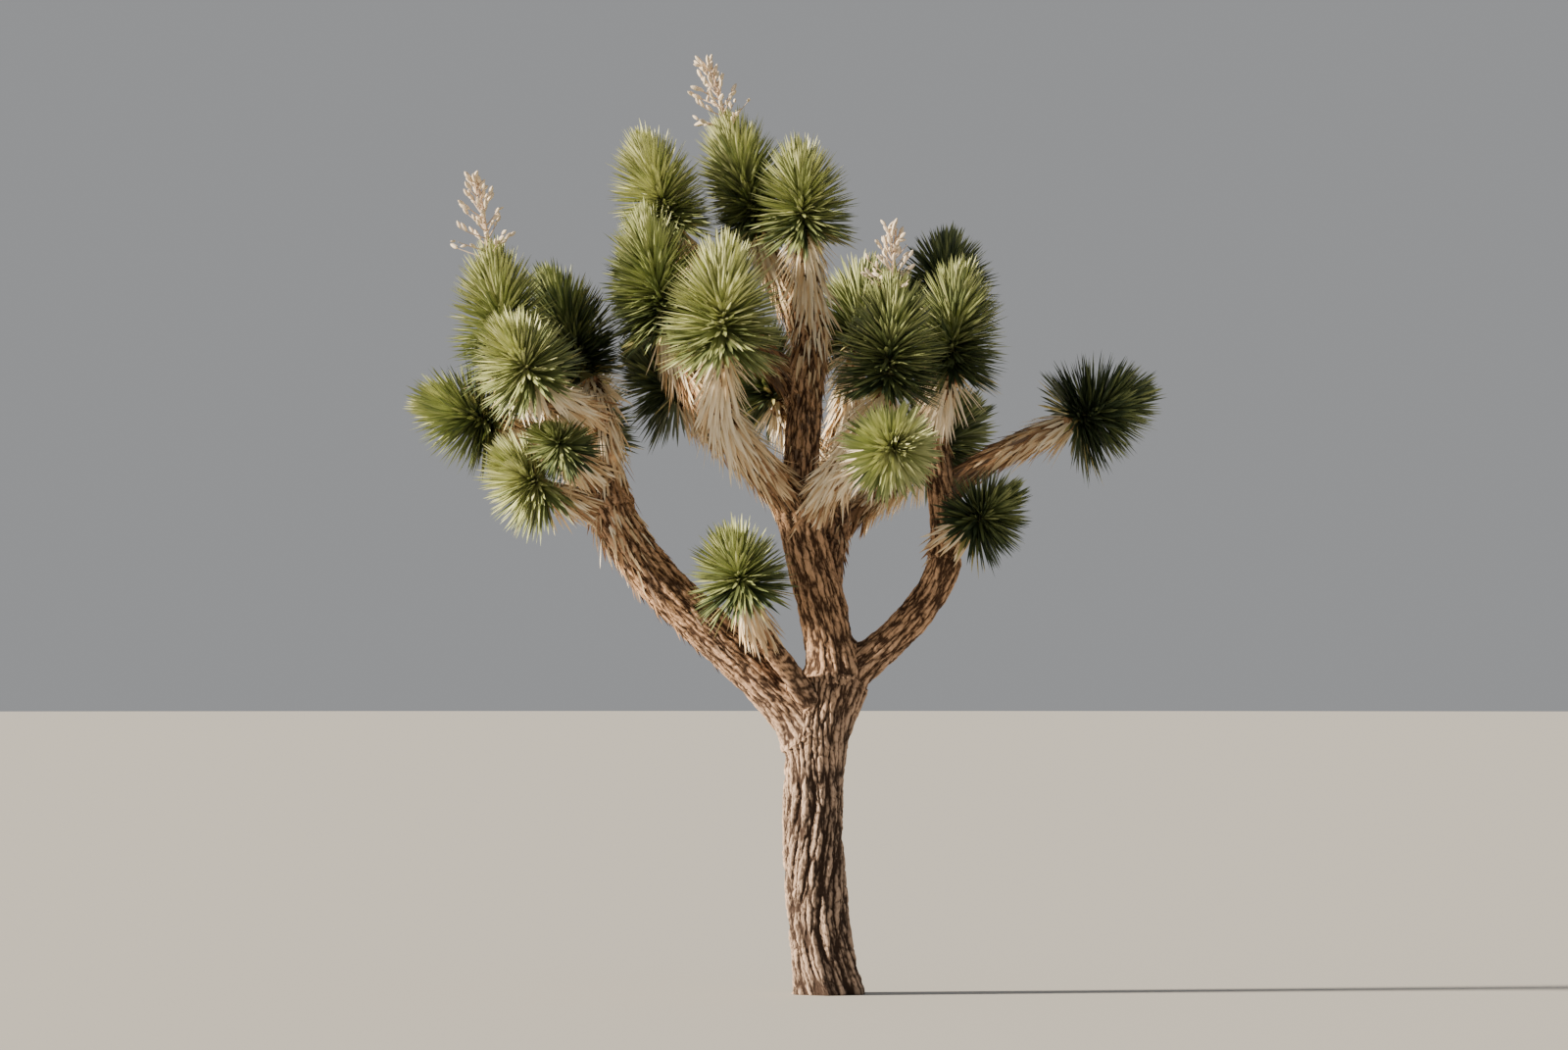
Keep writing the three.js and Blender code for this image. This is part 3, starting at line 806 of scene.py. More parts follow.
def bark_tree():
    """A tree of nodes that raises corky plates, fibres and cracks on a smooth skin."""
    tree, nodes, given = geometry_tree("Bark relief", {
        "Plate Width": ("NodeSocketFloat", 0.034),
        "Plate Height": ("NodeSocketFloat", 0.08),
        "Depth": ("NodeSocketFloat", 0.012),
        "Material": ("NodeSocketMaterial", None),
    })
    skin = nodes.attribute("skin")
    drift = nodes.vector("SUBTRACT", nodes.noise(skin, 11.0).beside("Color"), (0.5, 0.5, 0.5))
    place = nodes.vector("ADD", skin, nodes.scaled(drift, 0.03))
    across = given.beside("Plate Width")
    size = nodes.node("ShaderNodeCombineXYZ", {}, {
        "X": across, "Y": across, "Z": given.beside("Plate Height")})
    place = nodes.vector("DIVIDE", place, size)
    fissures = nodes.cells(nodes.vector("MULTIPLY", place, FISSURE_STRETCH), "DISTANCE_TO_EDGE")
    lift = nodes.part(nodes.cells(place, randomness=0.9).beside("Color"))
    cracks = nodes.cells(place, "DISTANCE_TO_EDGE", 0.9)
    fibres = nodes.noise(nodes.vector("MULTIPLY", skin, RAISED_FIBRES), detail=3.0)
    lumps = nodes.noise(nodes.vector("MULTIPLY", skin, LUMPS))
    plates = 0.42 + nodes.eased(cracks, 0.0, 0.12) * 0.38 + lift * 0.2
    height = nodes.eased(fissures, 0.0, 0.22) * plates + (fibres - 0.5) * 0.6 + (lumps - 0.5) * 0.36
    travel = (height - MIDDLE_HEIGHT) * given.beside("Depth") * nodes.attribute("hold", "FLOAT")
    raised = nodes.changed("GeometryNodeSetPosition", given, {
        "Offset": nodes.scaled(nodes.attribute("outward"), travel)})
    # The relief kept for the colour also sinks in the trunk's deep furrows, which paints shade in them.
    relief = height - nodes.attribute("furrow", "FLOAT") ** 3.0 * 0.5
    kept = nodes.changed("GeometryNodeStoreNamedAttribute", raised, {"Name": "relief", "Value": relief})
    smooth = nodes.changed("GeometryNodeSetShadeSmooth", kept, {"Shade Smooth": True})
    smooth = nodes.without(smooth, ("outward", "hold", "furrow"))
    nodes.end(nodes.changed("GeometryNodeRealizeInstances", smooth), given.beside("Material"))
    return tree


def ring_shares(limb, spacing):
    """Even rings along a limb, then rings that close round its domed tip."""
    straight = DOME_FROM * limb.line.length
    even = np.linspace(0, DOME_FROM, max(LEAST_RINGS, round(straight / spacing)), endpoint=False)
    dome = (1 - DOME_FROM) * limb.line.length + limb.girth[1]
    rings = max(LEAST_TIP_RINGS, round(dome / spacing))
    quarter = np.linspace(0, math.pi / 2, rings, endpoint=False)
    return np.concatenate([even, DOME_FROM + (1 - DOME_FROM) * np.sin(quarter)])


def outside(limb, points):
    """How far points lie outside a limb's smooth skin, and the way out from its line."""
    posts = limb.line.posts
    nearest = np.argmin((posts ** 2).sum(1) - 2 * points @ posts.T, axis=1)
    away = points - posts[nearest]
    distance = np.linalg.norm(away, axis=1)
    radius = limb.under_leaves * limb.radius(limb.line.post_shares[nearest])
    return distance - radius, away / distance[:, None]


def flow_together(limb, points, outward):
    """Move a limb's skin and its ways out, so that it flows into the skins beside it at a fork.

    Gives how far each point was outside those skins.
    """
    gap = np.min([outside(other, points)[0] for other in limb.beside], axis=0)
    near = gap < FLOW["share"] * limb.thickest
    moved = points[near]
    start = outside(limb, moved)[0]
    sunk = np.minimum(0, gap[near]) * smoothstep(-gap[near], 0, FLOW["depth"])
    for _ in range(FLOW["rounds"]):
        level, way = outside(limb, moved)
        level = level - start
        for other in limb.beside:
            reach = FLOW["share"] * min(limb.thickest, other.thickest)
            beyond, out = outside(other, moved)
            close = np.clip(1 - np.abs(beyond - level) / reach, 0, 1)
            own = np.clip(0.5 + 0.5 * (beyond - level) / reach, 0, 1)
            level = np.minimum(level, beyond) - 0.25 * reach * close ** 2
            way = mix(out, way, own[:, None])
        slope = np.maximum((way ** 2).sum(1), FLOW["flattest"])
        moved = moved + way * ((sunk - level) / slope)[:, None]
    points[near] = moved
    outward[near] = unit(way)
    return gap


def skin_of(limbs, spacing, ground=False):
    """A smooth closed skin round each limb, with its place round and along the limb kept."""
    tables = {name: [] for name in ("points", "skin", "outward", "hold", "furrow")}
    faces = []
    first = 0
    for number, limb in enumerate(limbs):
        rings = ring_shares(limb, spacing)
        girdle = 2 * math.pi * limb.thickest * limb.under_leaves
        count = max(LEAST_SIDES, round(girdle / spacing))
        angles = np.arange(count) / count * 2 * math.pi
        share, angle = (each.ravel() for each in np.meshgrid(rings, angles, indexing="ij"))
        around = turned(limb.line.heading(share), limb.line.side(share), -(angle + limb.sway(share)))
        radius = limb.under_leaves * limb.radius(share, angle)
        points = limb.line.place(share) + around * radius[:, None]
        girth = mix(*limb.girth, share)
        across = girth * np.sin(angle) + SKINS_APART * number
        skin = np.column_stack([girth * np.cos(angle), across, share * limb.line.length])
        gap = flow_together(limb, points, around)
        hold = smoothstep(radius, 0, FULL_RELIEF_AT * limb.thickest) * smoothstep(gap, *FLOW["relief"])
        if ground:
            points[:, 2] = np.maximum(points[:, 2], 0.0)
            points[:count, 2] = 0.0
            around[:, 2] *= smoothstep(points[:, 2], 0.0, LEVEL_BELOW)
        poles = {"points": [points[:count].mean(0), limb.line.place(1.0)[0]],
                 "skin": [skin[:count].mean(0), skin[-count:].mean(0)]}
        for name, values in (("points", points), ("skin", skin), ("outward", around), ("hold", hold),
                             ("furrow", limb.furrow(share, angle))):
            tables[name] += [values, poles.get(name, np.zeros((2,) + values.shape[1:]))]
        here = first + np.arange(count)
        beyond = np.roll(here, -1)
        steps = np.arange(len(rings) - 1)[:, None] * count
        quads = [here + steps, here + steps + count, beyond + steps + count, beyond + steps]
        faces += np.stack(quads, axis=-1).reshape(-1, 4).tolist()
        last = (len(rings) - 1) * count
        root_pole = first + len(share)
        faces += np.column_stack([here, beyond, np.full(count, root_pole)]).tolist()
        faces += np.column_stack([beyond + last, here + last, np.full(count, root_pole + 1)]).tolist()
        first = root_pole + 2
    mesh = bpy.data.meshes.new("skin")
    mesh.from_pydata(np.vstack(tables.pop("points")).tolist(), [], faces)
    for name, parts in tables.items():
        keep_values(mesh, name, np.concatenate(parts))
    return mesh


# Leaves, each kind in pieces of one tone. A finish is a roughness and a grain.
LEAF_STATIONS = 5
DEAD_LEAF = {
    "tree": "Dead leaf",
    "outline": [(0, 1.5), (0.15, 1.0), (0.6, 0.8), (1, 0.0)],
    "section": ((-0.5, 0.06, 0), (0, -0.12, 0), (0.5, 0.06, 0), (0, -0.02, 0)),
    "tones": ("cream", "straw", "rust", "umber"),
    "finish": (0.85, 220.0),
    "pieces": "thatch_",
    "slot": "dead_leaf",
}
GREEN_LEAF = {
    "tree": "Green leaf",
    "outline": [(0, 1.15), (0.25, 1.0), (0.5, 0.95), (0.75, 0.78), (1, 0.0)],
    "section": ((-0.5, 0.05, 0), (0, -0.22, 0), (0.5, 0.05, 0), (0, -0.01, 0)),
    "tones": ("fresh", "olive", "mid", "deep", "dying"),
    "finish": (0.45, 140.0),
    "pieces": "leaves_",
    "slot": "green_leaf",
}

# A green leaf from the foot of its head to its crown: its tilt, its root's height as a share of
# the head's, and its root's distance from the axis as a share of the head's reach
TILT = (-18, 84)
ROOT_HEIGHT = (0.0, 0.93)
ROOT_ASIDE = (0.3, 0.03)

# At which share of that distance it starts among the leaf bases, its length as a share of the
# reach, how far it sags for its length when old, and the reach of a head with leaves of full width
BASES_SHARE = 0.72
LEAF_LENGTH = 1.1
LEAF_SAG = 0.09
FULL_REACH = 0.225

# By how many tones a head is fresher at its crown, partly young leaves and partly painted light,
# and deeper at its foot, partly older leaves and partly painted shade, and how many of its
# lowest leaves are dying
FRESHER = 0.8
DEEPER = 1.1
DYING_SHARE = 0.28

# How far the leaves of a tuft differ together, and each leaf by chance. Angles are in degrees
# for tilt and fold, and in radians for azimuth.
TUFT = {"tilt": 9, "length": 0.04, "tone": 0.35}
GREEN_CHANCE = {"azimuth": 0.12, "tilt": 6, "heading": 0.05, "length": 0.09, "side": 0.25,
                "bend": 0.03, "tone": 0.5, "width": 0.08}
DEAD_CHANCE = {"azimuth": 0.2, "fold": 8, "length": 0.12, "side": 0.35, "bend": 0.07, "tone": 0.6,
               "width": 0.15, "droop": 0.25, "sag": 0.1}

# What becomes of a dead leaf as its limb grows on past it, at metres of growth: the angle in
# degrees by which it has folded back, its length in metres, its tone, and its share of its width
AGEING = {
    "fold": ((0.0, 0.03, 0.09, 0.2, 0.45, 0.8), (8, 34, 55, 67, 76, 81)),
    "length": ((0.0, 0.15, 0.4, 0.8, 1.2), (0.18, 0.19, 0.16, 0.125, 0.1)),
    "tone": ((0.0, 0.2, 0.42, 0.7, 1.05), (-0.6, -0.1, 0.8, 1.9, 2.9)),
    "width": ((0, 1), (1, 0.85)),
}

# Where a dead leaf's root stands in its limb's girth, how far from the tip the last one grows,
# and the least that its heading turns outward
DEAD_ROOT_SHARE = 0.8
SHORT_OF_TIP = 0.004
LEAST_OUTWARD = 0.14


def leaves_on(head, settings, chance):
    """Dagger leaves in a spiral round a head, from level at its foot to upright at its crown."""
    count = round(settings.fewest + settings.for_each_metre * head.long)
    stray = strays(chance, GREEN_CHANCE, count)
    share = (np.arange(count) + 0.5) / count
    azimuth = spiral(count) + stray("azimuth")
    tuft = np.sin(3 * azimuth + 8 * share + chance.uniform(0, 6)) * np.sin(13 * share - azimuth)
    tilt = np.radians(mix(*TILT, share ** 1.5) + TUFT["tilt"] * tuft + stray("tilt"))
    outward = turned(head.heading, head.across, azimuth)
    square = np.cross(head.heading, outward)
    heading = risen(outward, head.heading, tilt)
    heading = unit(heading + square * stray("heading")[:, None])
    height = mix(ROOT_HEIGHT[0], ROOT_HEIGHT[1] * head.long, share)
    aside = mix(ROOT_ASIDE[0] * head.reach, ROOT_ASIDE[1] * head.reach, share ** 0.8) * BASES_SHARE
    root = head.foot + head.heading * height[:, None] + outward * aside[:, None]
    shorter = mix(1.0, 0.94, smoothstep(share, 0.75, 1.0))
    uneven = np.clip(TUFT["length"] * tuft + stray("length", -0.01), -0.3, 0.12)
    length = LEAF_LENGTH * head.reach * shorter * (1 + uneven)
    side = unit(square + head.heading * stray("side")[:, None])
    bend = head.heading * (stray("bend", 0.02) * length)[:, None]
    bend[:, 2] -= LEAF_SAG * (1 - smoothstep(share, 0.0, 0.3)) * length
    # The head's own tone paints shade on heads in shadow; the crown is partly painted light and the foot
    # partly painted shade.
    tone = head.plan["tone"] - FRESHER * smoothstep(share, 0.55, 1.0)
    tone = tone + DEEPER * (1 - smoothstep(share, 0.1, 0.5)) + TUFT["tone"] * tuft + stray("tone")
    tone = np.clip(np.round(tone), 0, GREEN_LEAF["tones"].index("deep")).astype(int)
    dying = chance.random(count) < DYING_SHARE * (1 - smoothstep(share, 0.0, 0.12))
    tone[dying] = GREEN_LEAF["tones"].index("dying")
    width = settings.leaf_width * (head.reach / FULL_REACH) * (1 + stray("width"))
    return dict(root=root, heading=heading, side=side, bend=bend, tone=tone, width=width, length=length)


def dead_leaves_on(limb, begins, age, settings, chance, pace=1.0):
    """Dead leaves folded back along a limb: spread and pale near its tip, flat and dark below."""
    whole = limb.line.length
    travelled = np.arange(begins * whole, whole - SHORT_OF_TIP, settings.spacing / pace)
    count = len(travelled)
    stray = strays(chance, DEAD_CHANCE, count)
    old = age + (whole - travelled)
    aged = {name: np.interp(old, *stops) for name, stops in AGEING.items()}
    share = travelled / whole
    along = limb.line.heading(share)
    azimuth = spiral(count) + stray("azimuth")
    outward = turned(along, limb.line.side(share), azimuth)
    square = np.cross(along, outward)
    fold = np.radians(aged["fold"] + stray("fold"))
    heading = risen(outward, along, -fold)
    heading[:, 2] -= DEAD_CHANCE["droop"] * chance.random(count)
    inward = (heading * outward).sum(1, keepdims=True)
    heading = unit(heading + outward * np.maximum(0, LEAST_OUTWARD - inward))
    girth = DEAD_ROOT_SHARE * limb.radius(share)
    root = limb.line.place(share) + outward * girth[:, None]
    length = aged["length"] * (1 + stray("length"))
    side = unit(square + outward * stray("side")[:, None])
    bend = outward * (stray("bend", -0.03) * length)[:, None]
    bend += square * (stray("bend") * length)[:, None]
    bend[:, 2] -= DEAD_CHANCE["sag"] * chance.random(count) * length
    tone = aged["tone"] + stray("tone")
    tone = np.clip(np.round(tone), 0, len(DEAD_LEAF["tones"]) - 1).astype(int)
    width = settings.leaf_width * (1 + stray("width")) * aged["width"]
    return dict(root=root, heading=heading, side=side, bend=bend, tone=tone, width=width, length=length)


def lay_leaves(kind, leaves, settings, replaced):
    """One piece of leaves for each tone of their kind."""
    tree = strewn_tree(kind["tree"], kind["outline"], kind["section"])
    for number, tone in enumerate(kind["tones"]):
        name = kind["tree"].lower() + " " + tone
        finish = leaf_finish(name, getattr(settings, tone), *kind["finish"])
        mesh = strew(tree, only(leaves, leaves["tone"] == number), finish, LEAF_STATIONS)
        place_piece(kind["pieces"] + tone, mesh, replaced)


# What a user would change
def length_setting(name, description, default):
    return FloatProperty(
        name=name, description=description, default=default, unit="LENGTH", subtype="DISTANCE")


def angle_setting(name, description, default):
    """An angle, given in degrees."""
    return FloatProperty(
        name=name, description=description, default=math.radians(default),
        unit="ROTATION", subtype="ANGLE")


def colour_setting(name, description, default):
    return FloatVectorProperty(
        name=name, description=description, default=default, subtype="COLOR", min=0, max=1)


class StageSettings(bpy.types.PropertyGroup):
    floor_colour: colour_setting("Floor colour", "Colour of the plain floor", (0.46, 0.446, 0.423))
    floor_radius: length_setting("Floor radius", "How far the floor goes", 140.0)
    sky_colour: colour_setting("Sky colour", "Colour of the light from all round", (0.92, 0.935, 0.96))
    sky_strength: FloatProperty(
        name="Sky strength", description="Strength of the light from all round", default=0.34)
    sun_colour: colour_setting("Sun colour", "Colour of the low light", (1.0, 0.88, 0.7))
    sun_strength: FloatProperty(
        name="Sun strength", description="Strength of the low light from the left", default=14.5)
    sun_height: angle_setting("Sun height", "How high the low light stands", 20)
    sun_width: angle_setting("Sun width", "How wide the light is, which softens its shadows", 6)
    view_height: length_setting("View height", "Height of the frame at the tree", 5.2)
    view_distance: length_setting("View distance", "Distance from the camera to the tree", 35.0)


class BarkSettings(bpy.types.PropertyGroup):
    plate_width: length_setting("Plate width", "Width of a corky plate on the trunk", 0.034)
    plate_height: length_setting("Plate height", "Height of a corky plate on the trunk", 0.075)
    depth: length_setting("Furrow depth", "Depth of the furrows between the trunk's plates", 0.013)
    trunk_spacing: length_setting("Trunk mesh", "Length of a face on the trunk", 0.0052)
    bough_spacing: length_setting("Bough mesh", "Length of a face on a bough", 0.0065)
    shoot_spacing: length_setting("Shoot mesh", "Length of a face under the dead leaves", 0.019)
    ridge: colour_setting("Ridge colour", "Colour of the plates", (0.43, 0.305, 0.225))
    # The furrow colour is painted shade down between the plates.
    groove_shade: colour_setting("Furrow colour", "Colour between the plates", (0.05, 0.03, 0.021))
    upper: colour_setting("Bough tint", "Tint of the bark on the boughs", (1.0, 0.86, 0.69))


class ThatchSettings(bpy.types.PropertyGroup):
    leaf_width: length_setting("Leaf width", "Width of a dead leaf", 0.017)
    spacing: length_setting("Leaf spacing", "Growth of the arm from one dead leaf to the next", 0.0017)
    cream: colour_setting("Newest", "Colour of the leaves that died last", (0.93, 0.81, 0.61))
    straw: colour_setting("Straw", "Colour of dry leaves", (0.76, 0.57, 0.35))
    rust: colour_setting("Rust", "Colour of old leaves", (0.34, 0.195, 0.1))
    umber: colour_setting("Oldest", "Colour of the oldest leaves", (0.17, 0.11, 0.073))


class CrownSettings(bpy.types.PropertyGroup):
    leaf_width: length_setting("Leaf width", "Width of a green leaf on a full head", 0.018)
    fewest: IntProperty(
        name="Fewest leaves", description="Leaves on a head with no length", default=380)
    for_each_metre: IntProperty(
        name="Leaves for length", description="Leaves added for each metre of a head's stem",
        default=1550)
    # The greens run from sunlit to shaded: fresh is partly painted light and deep partly painted shade,
    # besides the leaves' own change with age.
    fresh: colour_setting("Fresh", "Colour of the youngest leaves", (0.52, 0.545, 0.26))
    olive: colour_setting("Olive", "Colour of leaves in the open", (0.315, 0.355, 0.142))
    mid: colour_setting("Middle green", "Colour of older leaves", (0.163, 0.2, 0.077))
    # Deep green is partly painted shade, for heads and leaves that lie in shadow.
    deep: colour_setting("Deep green", "Colour of leaves grown in shade", (0.06, 0.086, 0.041))
    dying: colour_setting("Dying", "Colour of the lowest leaves of a head", (0.5, 0.44, 0.17))


class StalkSettings(bpy.types.PropertyGroup):
    side_stems: IntProperty(
        name="Side stems", description="Short stems on each old flower stalk", default=30)
    pod_share: FloatProperty(
        name="Pods kept", description="Share of the dry pods that still hang on", default=0.7,
        subtype="FACTOR", min=0, max=1)
    stem_colour: colour_setting("Stem colour", "Colour of the dry stalks", (0.55, 0.42, 0.31))
    pod_colour: colour_setting("Pod colour", "Colour of the dry seed pods", (0.72, 0.6, 0.45))


# What makes each piece or group of pieces
FLOOR_SIDES = 96
SUN_FROM = (-0.985, -0.17, 0.0)
PICTURE = (1600, 1071)
SENSOR_WIDTH = 36.0
EYE_HEIGHT = 1.75
FURTHEST_SEEN = 500.0


class MakeStage(bpy.types.Operator):
    """Set out the floor, the light and the camera"""

    bl_idname = "joshua.make_stage"
    bl_label = "Floor, light and camera"

    def execute(self, context):
        settings = context.scene.joshua_stage
        self.lay_floor(settings)
        context.scene.world = self.sky(settings)
        self.hang_sun(settings)
        context.scene.camera = self.camera(settings)
        return {"FINISHED"}

    def lay_floor(self, settings):
        around = np.linspace(0, 2 * math.pi, FLOOR_SIDES, endpoint=False)
        rim = np.column_stack([np.cos(around), np.sin(around), 0 * around]) * settings.floor_radius
        mesh = bpy.data.meshes.new("floor")
        mesh.from_pydata(rim.tolist(), [], [list(range(len(rim)))])
        material, nodes = new_material("floor")
        finish_surface(nodes, {"Base Color": opaque(settings.floor_colour), "Roughness": 0.9})
        mesh.materials.append(material)
        floor = new_object("floor", mesh)

    def sky(self, settings):
        world = bpy.data.worlds.new("sky")
        world.use_nodes = True
        world.node_tree.nodes.clear()
        nodes = Nodes(world.node_tree)
        light = nodes.node("ShaderNodeBackground", {}, {
            "Color": opaque(settings.sky_colour), "Strength": settings.sky_strength})
        nodes.node("ShaderNodeOutputWorld", {}, {"Surface": light})
        return world

    def hang_sun(self, settings):
        sun = bpy.data.lights.new("sun", "SUN")
        sun.energy = settings.sun_strength
        sun.angle = settings.sun_width
        sun.color = settings.sun_colour
        lamp = new_object("sun", sun)
        level = Vector(SUN_FROM).normalized() * math.cos(settings.sun_height)
        towards = level + Vector((0, 0, math.sin(settings.sun_height)))
        lamp.rotation_euler = towards.to_track_quat("Z", "Y").to_euler()

    def camera(self, settings):
        camera = bpy.data.cameras.new("camera")
        camera.sensor_width = SENSOR_WIDTH
        wide = settings.view_height * PICTURE[0] / PICTURE[1]
        camera.lens = camera.sensor_width * settings.view_distance / wide
        camera.clip_end = FURTHEST_SEEN
        eye = new_object("camera", camera)
        middle = Vector([(low + high) / 2 for low, high in zip(*cad_box)])
        eye.location = (middle.x, -settings.view_distance, EYE_HEIGHT)
        aim = Vector((middle.x, 0.0, middle.z)) - eye.location
        eye.rotation_euler = aim.to_track_quat("-Z", "Y").to_euler()
        return eye


# Each size of the bark, its setting, and what the slimmest limb would have of the trunk's
PLATES = (
    ("Plate Width", "plate_width", 0.6),
    ("Plate Height", "plate_height", 0.5),
    ("Depth", "depth", 0.3),
)
SHOOT_PLATES = {"Plate Width": 0.016, "Plate Height": 0.02, "Depth": 0.006}


class MakeBark(bpy.types.Operator):
    """Cover the trunk, the boughs and the shoots with bark"""

    bl_idname = "joshua.make_bark"
    bl_label = "Bark"

    def execute(self, context):
        settings = context.scene.joshua_bark
        tree = bark_tree()
        finish = bark_finish("corky bark", settings.ridge, settings.groove_shade, settings.upper)
        for limb in LIMBS.values():
            trunk = limb.name == "trunk"
            slim = limb.thickest / LIMBS["trunk"].thickest
            plates = {label: getattr(settings, name) * mix(least, 1.0, slim)
                      for label, name, least in PLATES}
            skin = skin_of([limb], settings.trunk_spacing if trunk else settings.bough_spacing, trunk)
            mesh = through_nodes(skin, tree, {**plates, "Material": finish})
            place_piece("bark_" + limb.name.replace("bough_", ""), mesh, [limb.name])
        skin = skin_of(SHOOTS, settings.shoot_spacing)
        mesh = through_nodes(skin, tree, {**SHOOT_PLATES, "Material": finish})
        place_piece("shoots", mesh, [arm.name for arm in SHOOTS])
        return {"FINISHED"}


class MakeThatch(bpy.types.Operator):
    """Lay dead leaves on the arms and on the upper boughs"""

    bl_idname = "joshua.make_thatch"
    bl_label = "Dead leaves"

    ARM_CLAD_FROM = 0.14
    BOUGH_PACE = 1.15

    def execute(self, context):
        settings = context.scene.joshua_thatch
        chance = np.random.default_rng(SEED)
        batches = []
        for head in HEADS:
            arm = head.arm
            begins = arm.plan.get("thatch", self.ARM_CLAD_FROM)
            leaves = dead_leaves_on(arm, begins, arm.plan.get("age", 0.0), settings, chance)
            batches.append(fitted(np.vstack([arm.path, head.path[1:]]), head.rivals, [], leaves))
        for limb in LIMBS.values():
            if "thatch" in limb.plan:
                leaves = dead_leaves_on(
                    limb, limb.plan["thatch"], limb.plan["age"], settings, chance, self.BOUGH_PACE)
                batches.append(fitted(limb.path, [head.path for head in HEADS], [], leaves))
        lay_leaves(DEAD_LEAF, joined(batches), settings, [arm.name for arm in SHOOTS])
        return {"FINISHED"}


class MakeCrown(bpy.types.Operator):
    """Set dagger leaves on every head"""

    bl_idname = "joshua.make_crown"
    bl_label = "Green leaves"

    # The stem under the leaves: its width is a share of its head's reach, and it starts in the arm
    OUTLINE = [(0, 1.0), (0.6, 0.6), (0.9, 0.3), (1, 0.0)]
    SIDES = 10
    STATIONS = 8
    WIDTH = 0.46
    SUNK = 0.01

    def execute(self, context):
        settings = context.scene.joshua_crown
        chance = np.random.default_rng(SEED + 1)
        batches = []
        barriers = list(LIMBS.values())
        for head in HEADS:
            rivals = head.rivals + [arm.path for arm in SHOOTS if arm is not head.arm]
            leaves = leaves_on(head, settings, chance)
            batches.append(fitted(head.path, rivals, barriers, leaves))
        crown = [head.node for head in HEADS]
        lay_leaves(GREEN_LEAF, joined(batches), settings, crown)
        stems = joined([lone(
            root=head.foot - self.SUNK * head.heading, heading=head.heading, side=head.across,
            bend=(0, 0, 0), width=self.WIDTH * head.reach, length=head.long) for head in HEADS])
        tree = strewn_tree("Head stem", self.OUTLINE, self.SIDES)
        # The leaf bases are mostly deep green, and so carry its painted shade.
        finish = leaf_finish("leaf bases", mix(row(settings.deep), row(settings.dying), 0.3), 0.7)
        place_piece("head_stems", strew(tree, stems, finish, self.STATIONS), crown)
        return {"FINISHED"}


# An old flower stalk, in metres. It rises from a share of its head's stem. Pairs are for its
# lowest and its highest side stem.
STALK = {
    "rises": (-0.08, 0.0, 0.2), "foot": 0.75, "width": 0.026, "bend": (0.02, 0.01, 0.0),
    "side_stems": (0.32, 0.93), "spread": (22, 62), "reach": (0.17, 0.045),
    "stem_width": 0.0075, "lift": 0.015, "pod_width": 0.019, "pod_length": 0.045,
}
POD_PLACES = (0.5, 0.75, 1.0)
POD_DROOP = 0.4
STALK_CHANCE = {"spread": 8, "reach": 0.14, "place": 0.06, "pod": 0.15}
STEM_OUTLINE = [(0, 1.0), (0.5, 0.8), (1, 0.35)]
POD_OUTLINE = [(0, 0.3), (0.2, 0.85), (0.5, 1.0), (0.8, 0.7), (1, 0.1)]


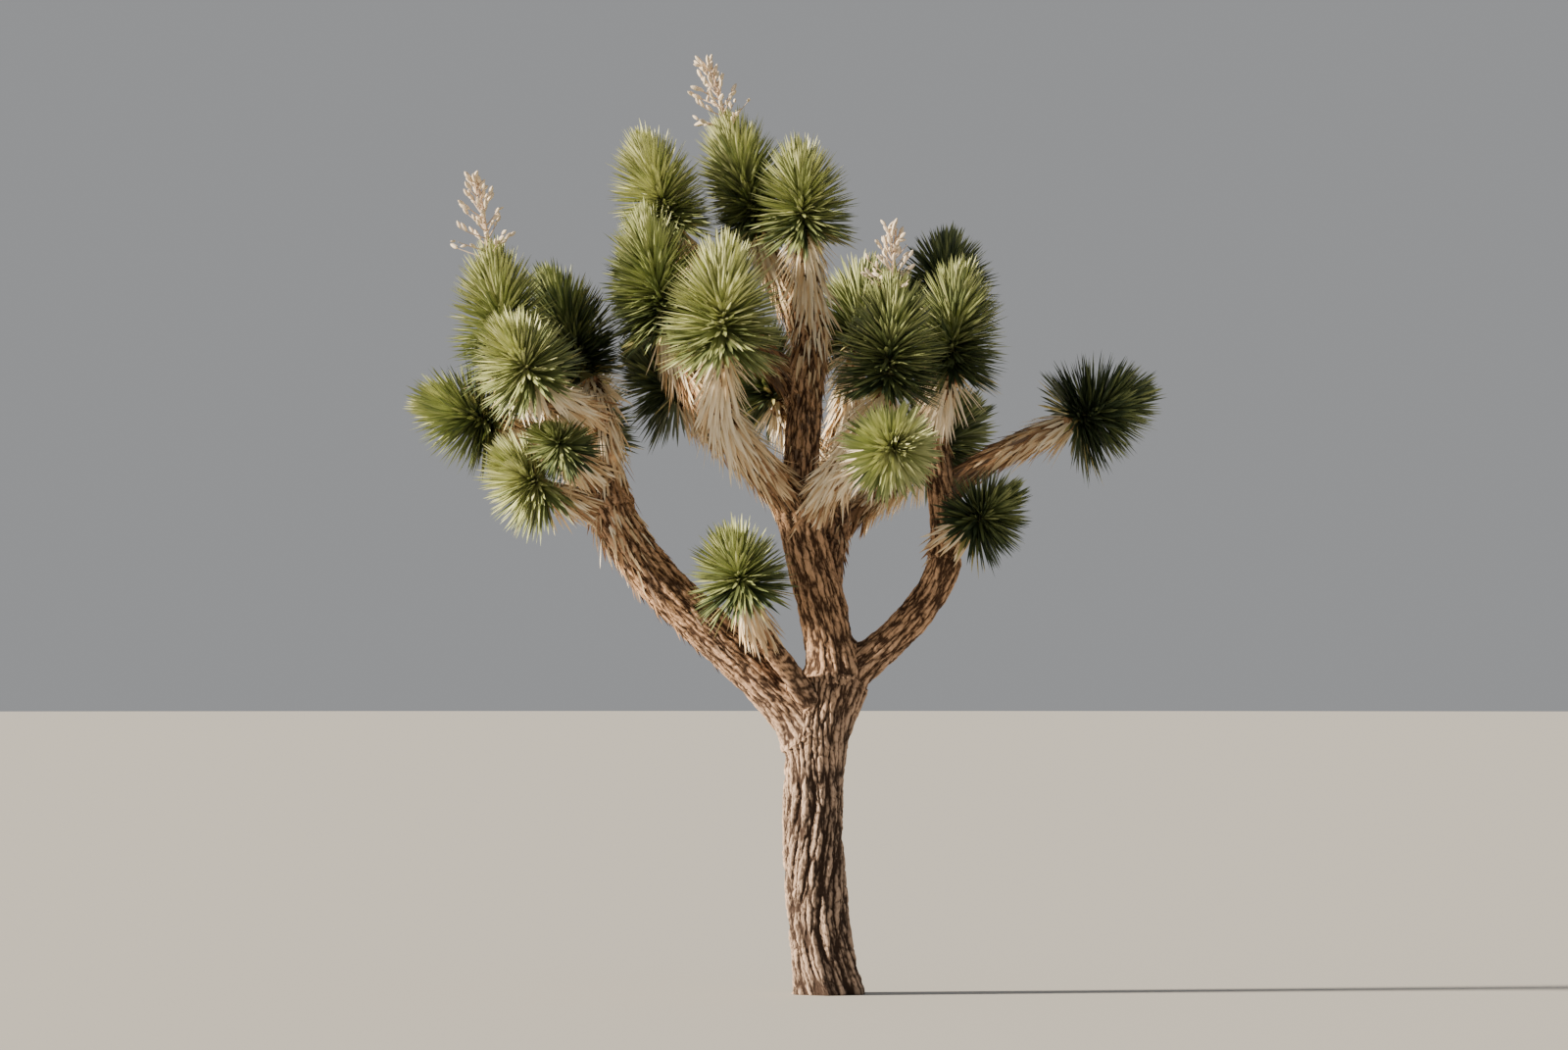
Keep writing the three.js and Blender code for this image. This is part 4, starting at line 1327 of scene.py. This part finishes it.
class MakeStalks(bpy.types.Operator):
    """Raise the old flower stalks with their side stems and pods"""

    bl_idname = "joshua.make_stalks"
    bl_label = "Flower stalks"

    SIDES = 6
    STATIONS = 7

    def execute(self, context):
        settings = context.scene.joshua_stalks
        chance = np.random.default_rng(SEED + 2)
        flowered = [head for head in HEADS if "stalk" in head.plan]
        stems = []
        pods = []
        for head in flowered:
            self.grow(head, settings, chance, stems, pods)
        nodes = [head.node for head in flowered]
        tree = strewn_tree("Dry stem", STEM_OUTLINE, self.SIDES)
        finish = leaf_finish("dry stem", settings.stem_colour, 0.85, 200.0)
        place_piece("stalk_stems", strew(tree, joined(stems), finish, self.STATIONS), nodes)
        tree = strewn_tree("Seed pod", POD_OUTLINE, self.SIDES)
        finish = leaf_finish("dry pod", settings.pod_colour, 0.8, 200.0)
        place_piece("stalk_pods", strew(tree, joined(pods), finish, self.STATIONS), nodes)
        return {"FINISHED"}

    def grow(self, head, settings, chance, stems, pods):
        """Add one stalk, its side stems and the pods that it still has."""
        count = settings.side_stems
        stray = strays(chance, STALK_CHANCE, count)
        heading = unit(head.heading + STALK["rises"])
        root = head.foot + STALK["foot"] * head.long * head.heading
        length = head.plan["stalk"] * MM + (1 - STALK["foot"]) * head.long
        stems.append(lone(root=root, heading=heading, side=head.across, bend=STALK["bend"],
                          width=STALK["width"], length=length))
        climb = (np.arange(count) + 0.5) / count
        share = mix(*STALK["side_stems"], climb)
        outward = turned(heading, head.across, spiral(count))
        outward = unit(outward - (outward @ heading)[:, None] * heading)
        spread = np.radians(mix(*STALK["spread"], climb) + stray("spread"))
        way = unit(risen(outward, heading, spread))
        foot = root + heading * (share * length)[:, None]
        reach = mix(*STALK["reach"], climb ** 0.8) * (1 + stray("reach"))
        stems.append(dict(root=foot, heading=way, side=np.cross(heading, outward),
                          bend=heading * STALK["lift"] + 0 * way,
                          width=np.full(count, STALK["stem_width"]), length=reach))
        for along in POD_PLACES:
            bearing = chance.random(count) < settings.pod_share
            here = along * (1 + stray("place"))
            lift = STALK["lift"] * here ** 2
            tip = foot + way * (here * reach)[:, None] + heading * lift[:, None]
            droop = unit(way + chance.normal(0, POD_DROOP, way.shape) + 0.25 * heading)
            size = 1 + stray("pod")
            pod = dict(root=tip, heading=droop, side=unit(np.cross(droop, outward)), bend=0 * tip,
                       width=STALK["pod_width"] * size, length=STALK["pod_length"] * size)
            pods.append(only(pod, bearing))


class TreePanel(bpy.types.Panel):
    """The makers of the tree's pieces, and their sizes and colours"""

    bl_idname = "JOSHUA_PT_tree"
    bl_label = "Joshua tree"
    bl_space_type = "VIEW_3D"
    bl_region_type = "UI"
    bl_category = "Tree"

    def draw(self, context):
        for maker, (name, group) in zip(MAKERS, SETTINGS.items()):
            box = self.layout.box()
            box.operator(maker.bl_idname)
            for each in group.__annotations__:
                box.prop(getattr(context.scene, name), each)


MAKERS = (MakeStage, MakeBark, MakeThatch, MakeCrown, MakeStalks)
SETTINGS = {
    "joshua_stage": StageSettings,
    "joshua_bark": BarkSettings,
    "joshua_thatch": ThatchSettings,
    "joshua_crown": CrownSettings,
    "joshua_stalks": StalkSettings,
}


def register():
    for each in (*SETTINGS.values(), *MAKERS, TreePanel):
        bpy.utils.register_class(each)
    for name, group in SETTINGS.items():
        setattr(bpy.types.Scene, name, PointerProperty(type=group))


def unregister():
    for name in SETTINGS:
        delattr(bpy.types.Scene, name)
    for each in (TreePanel, *reversed(MAKERS), *reversed(SETTINGS.values())):
        bpy.utils.unregister_class(each)


def main():
    register()
    bpy.ops.joshua.make_stage()
    bpy.ops.joshua.make_bark()
    bpy.ops.joshua.make_thatch()
    bpy.ops.joshua.make_crown()
    bpy.ops.joshua.make_stalks()


if __name__ == "__main__":
    main()
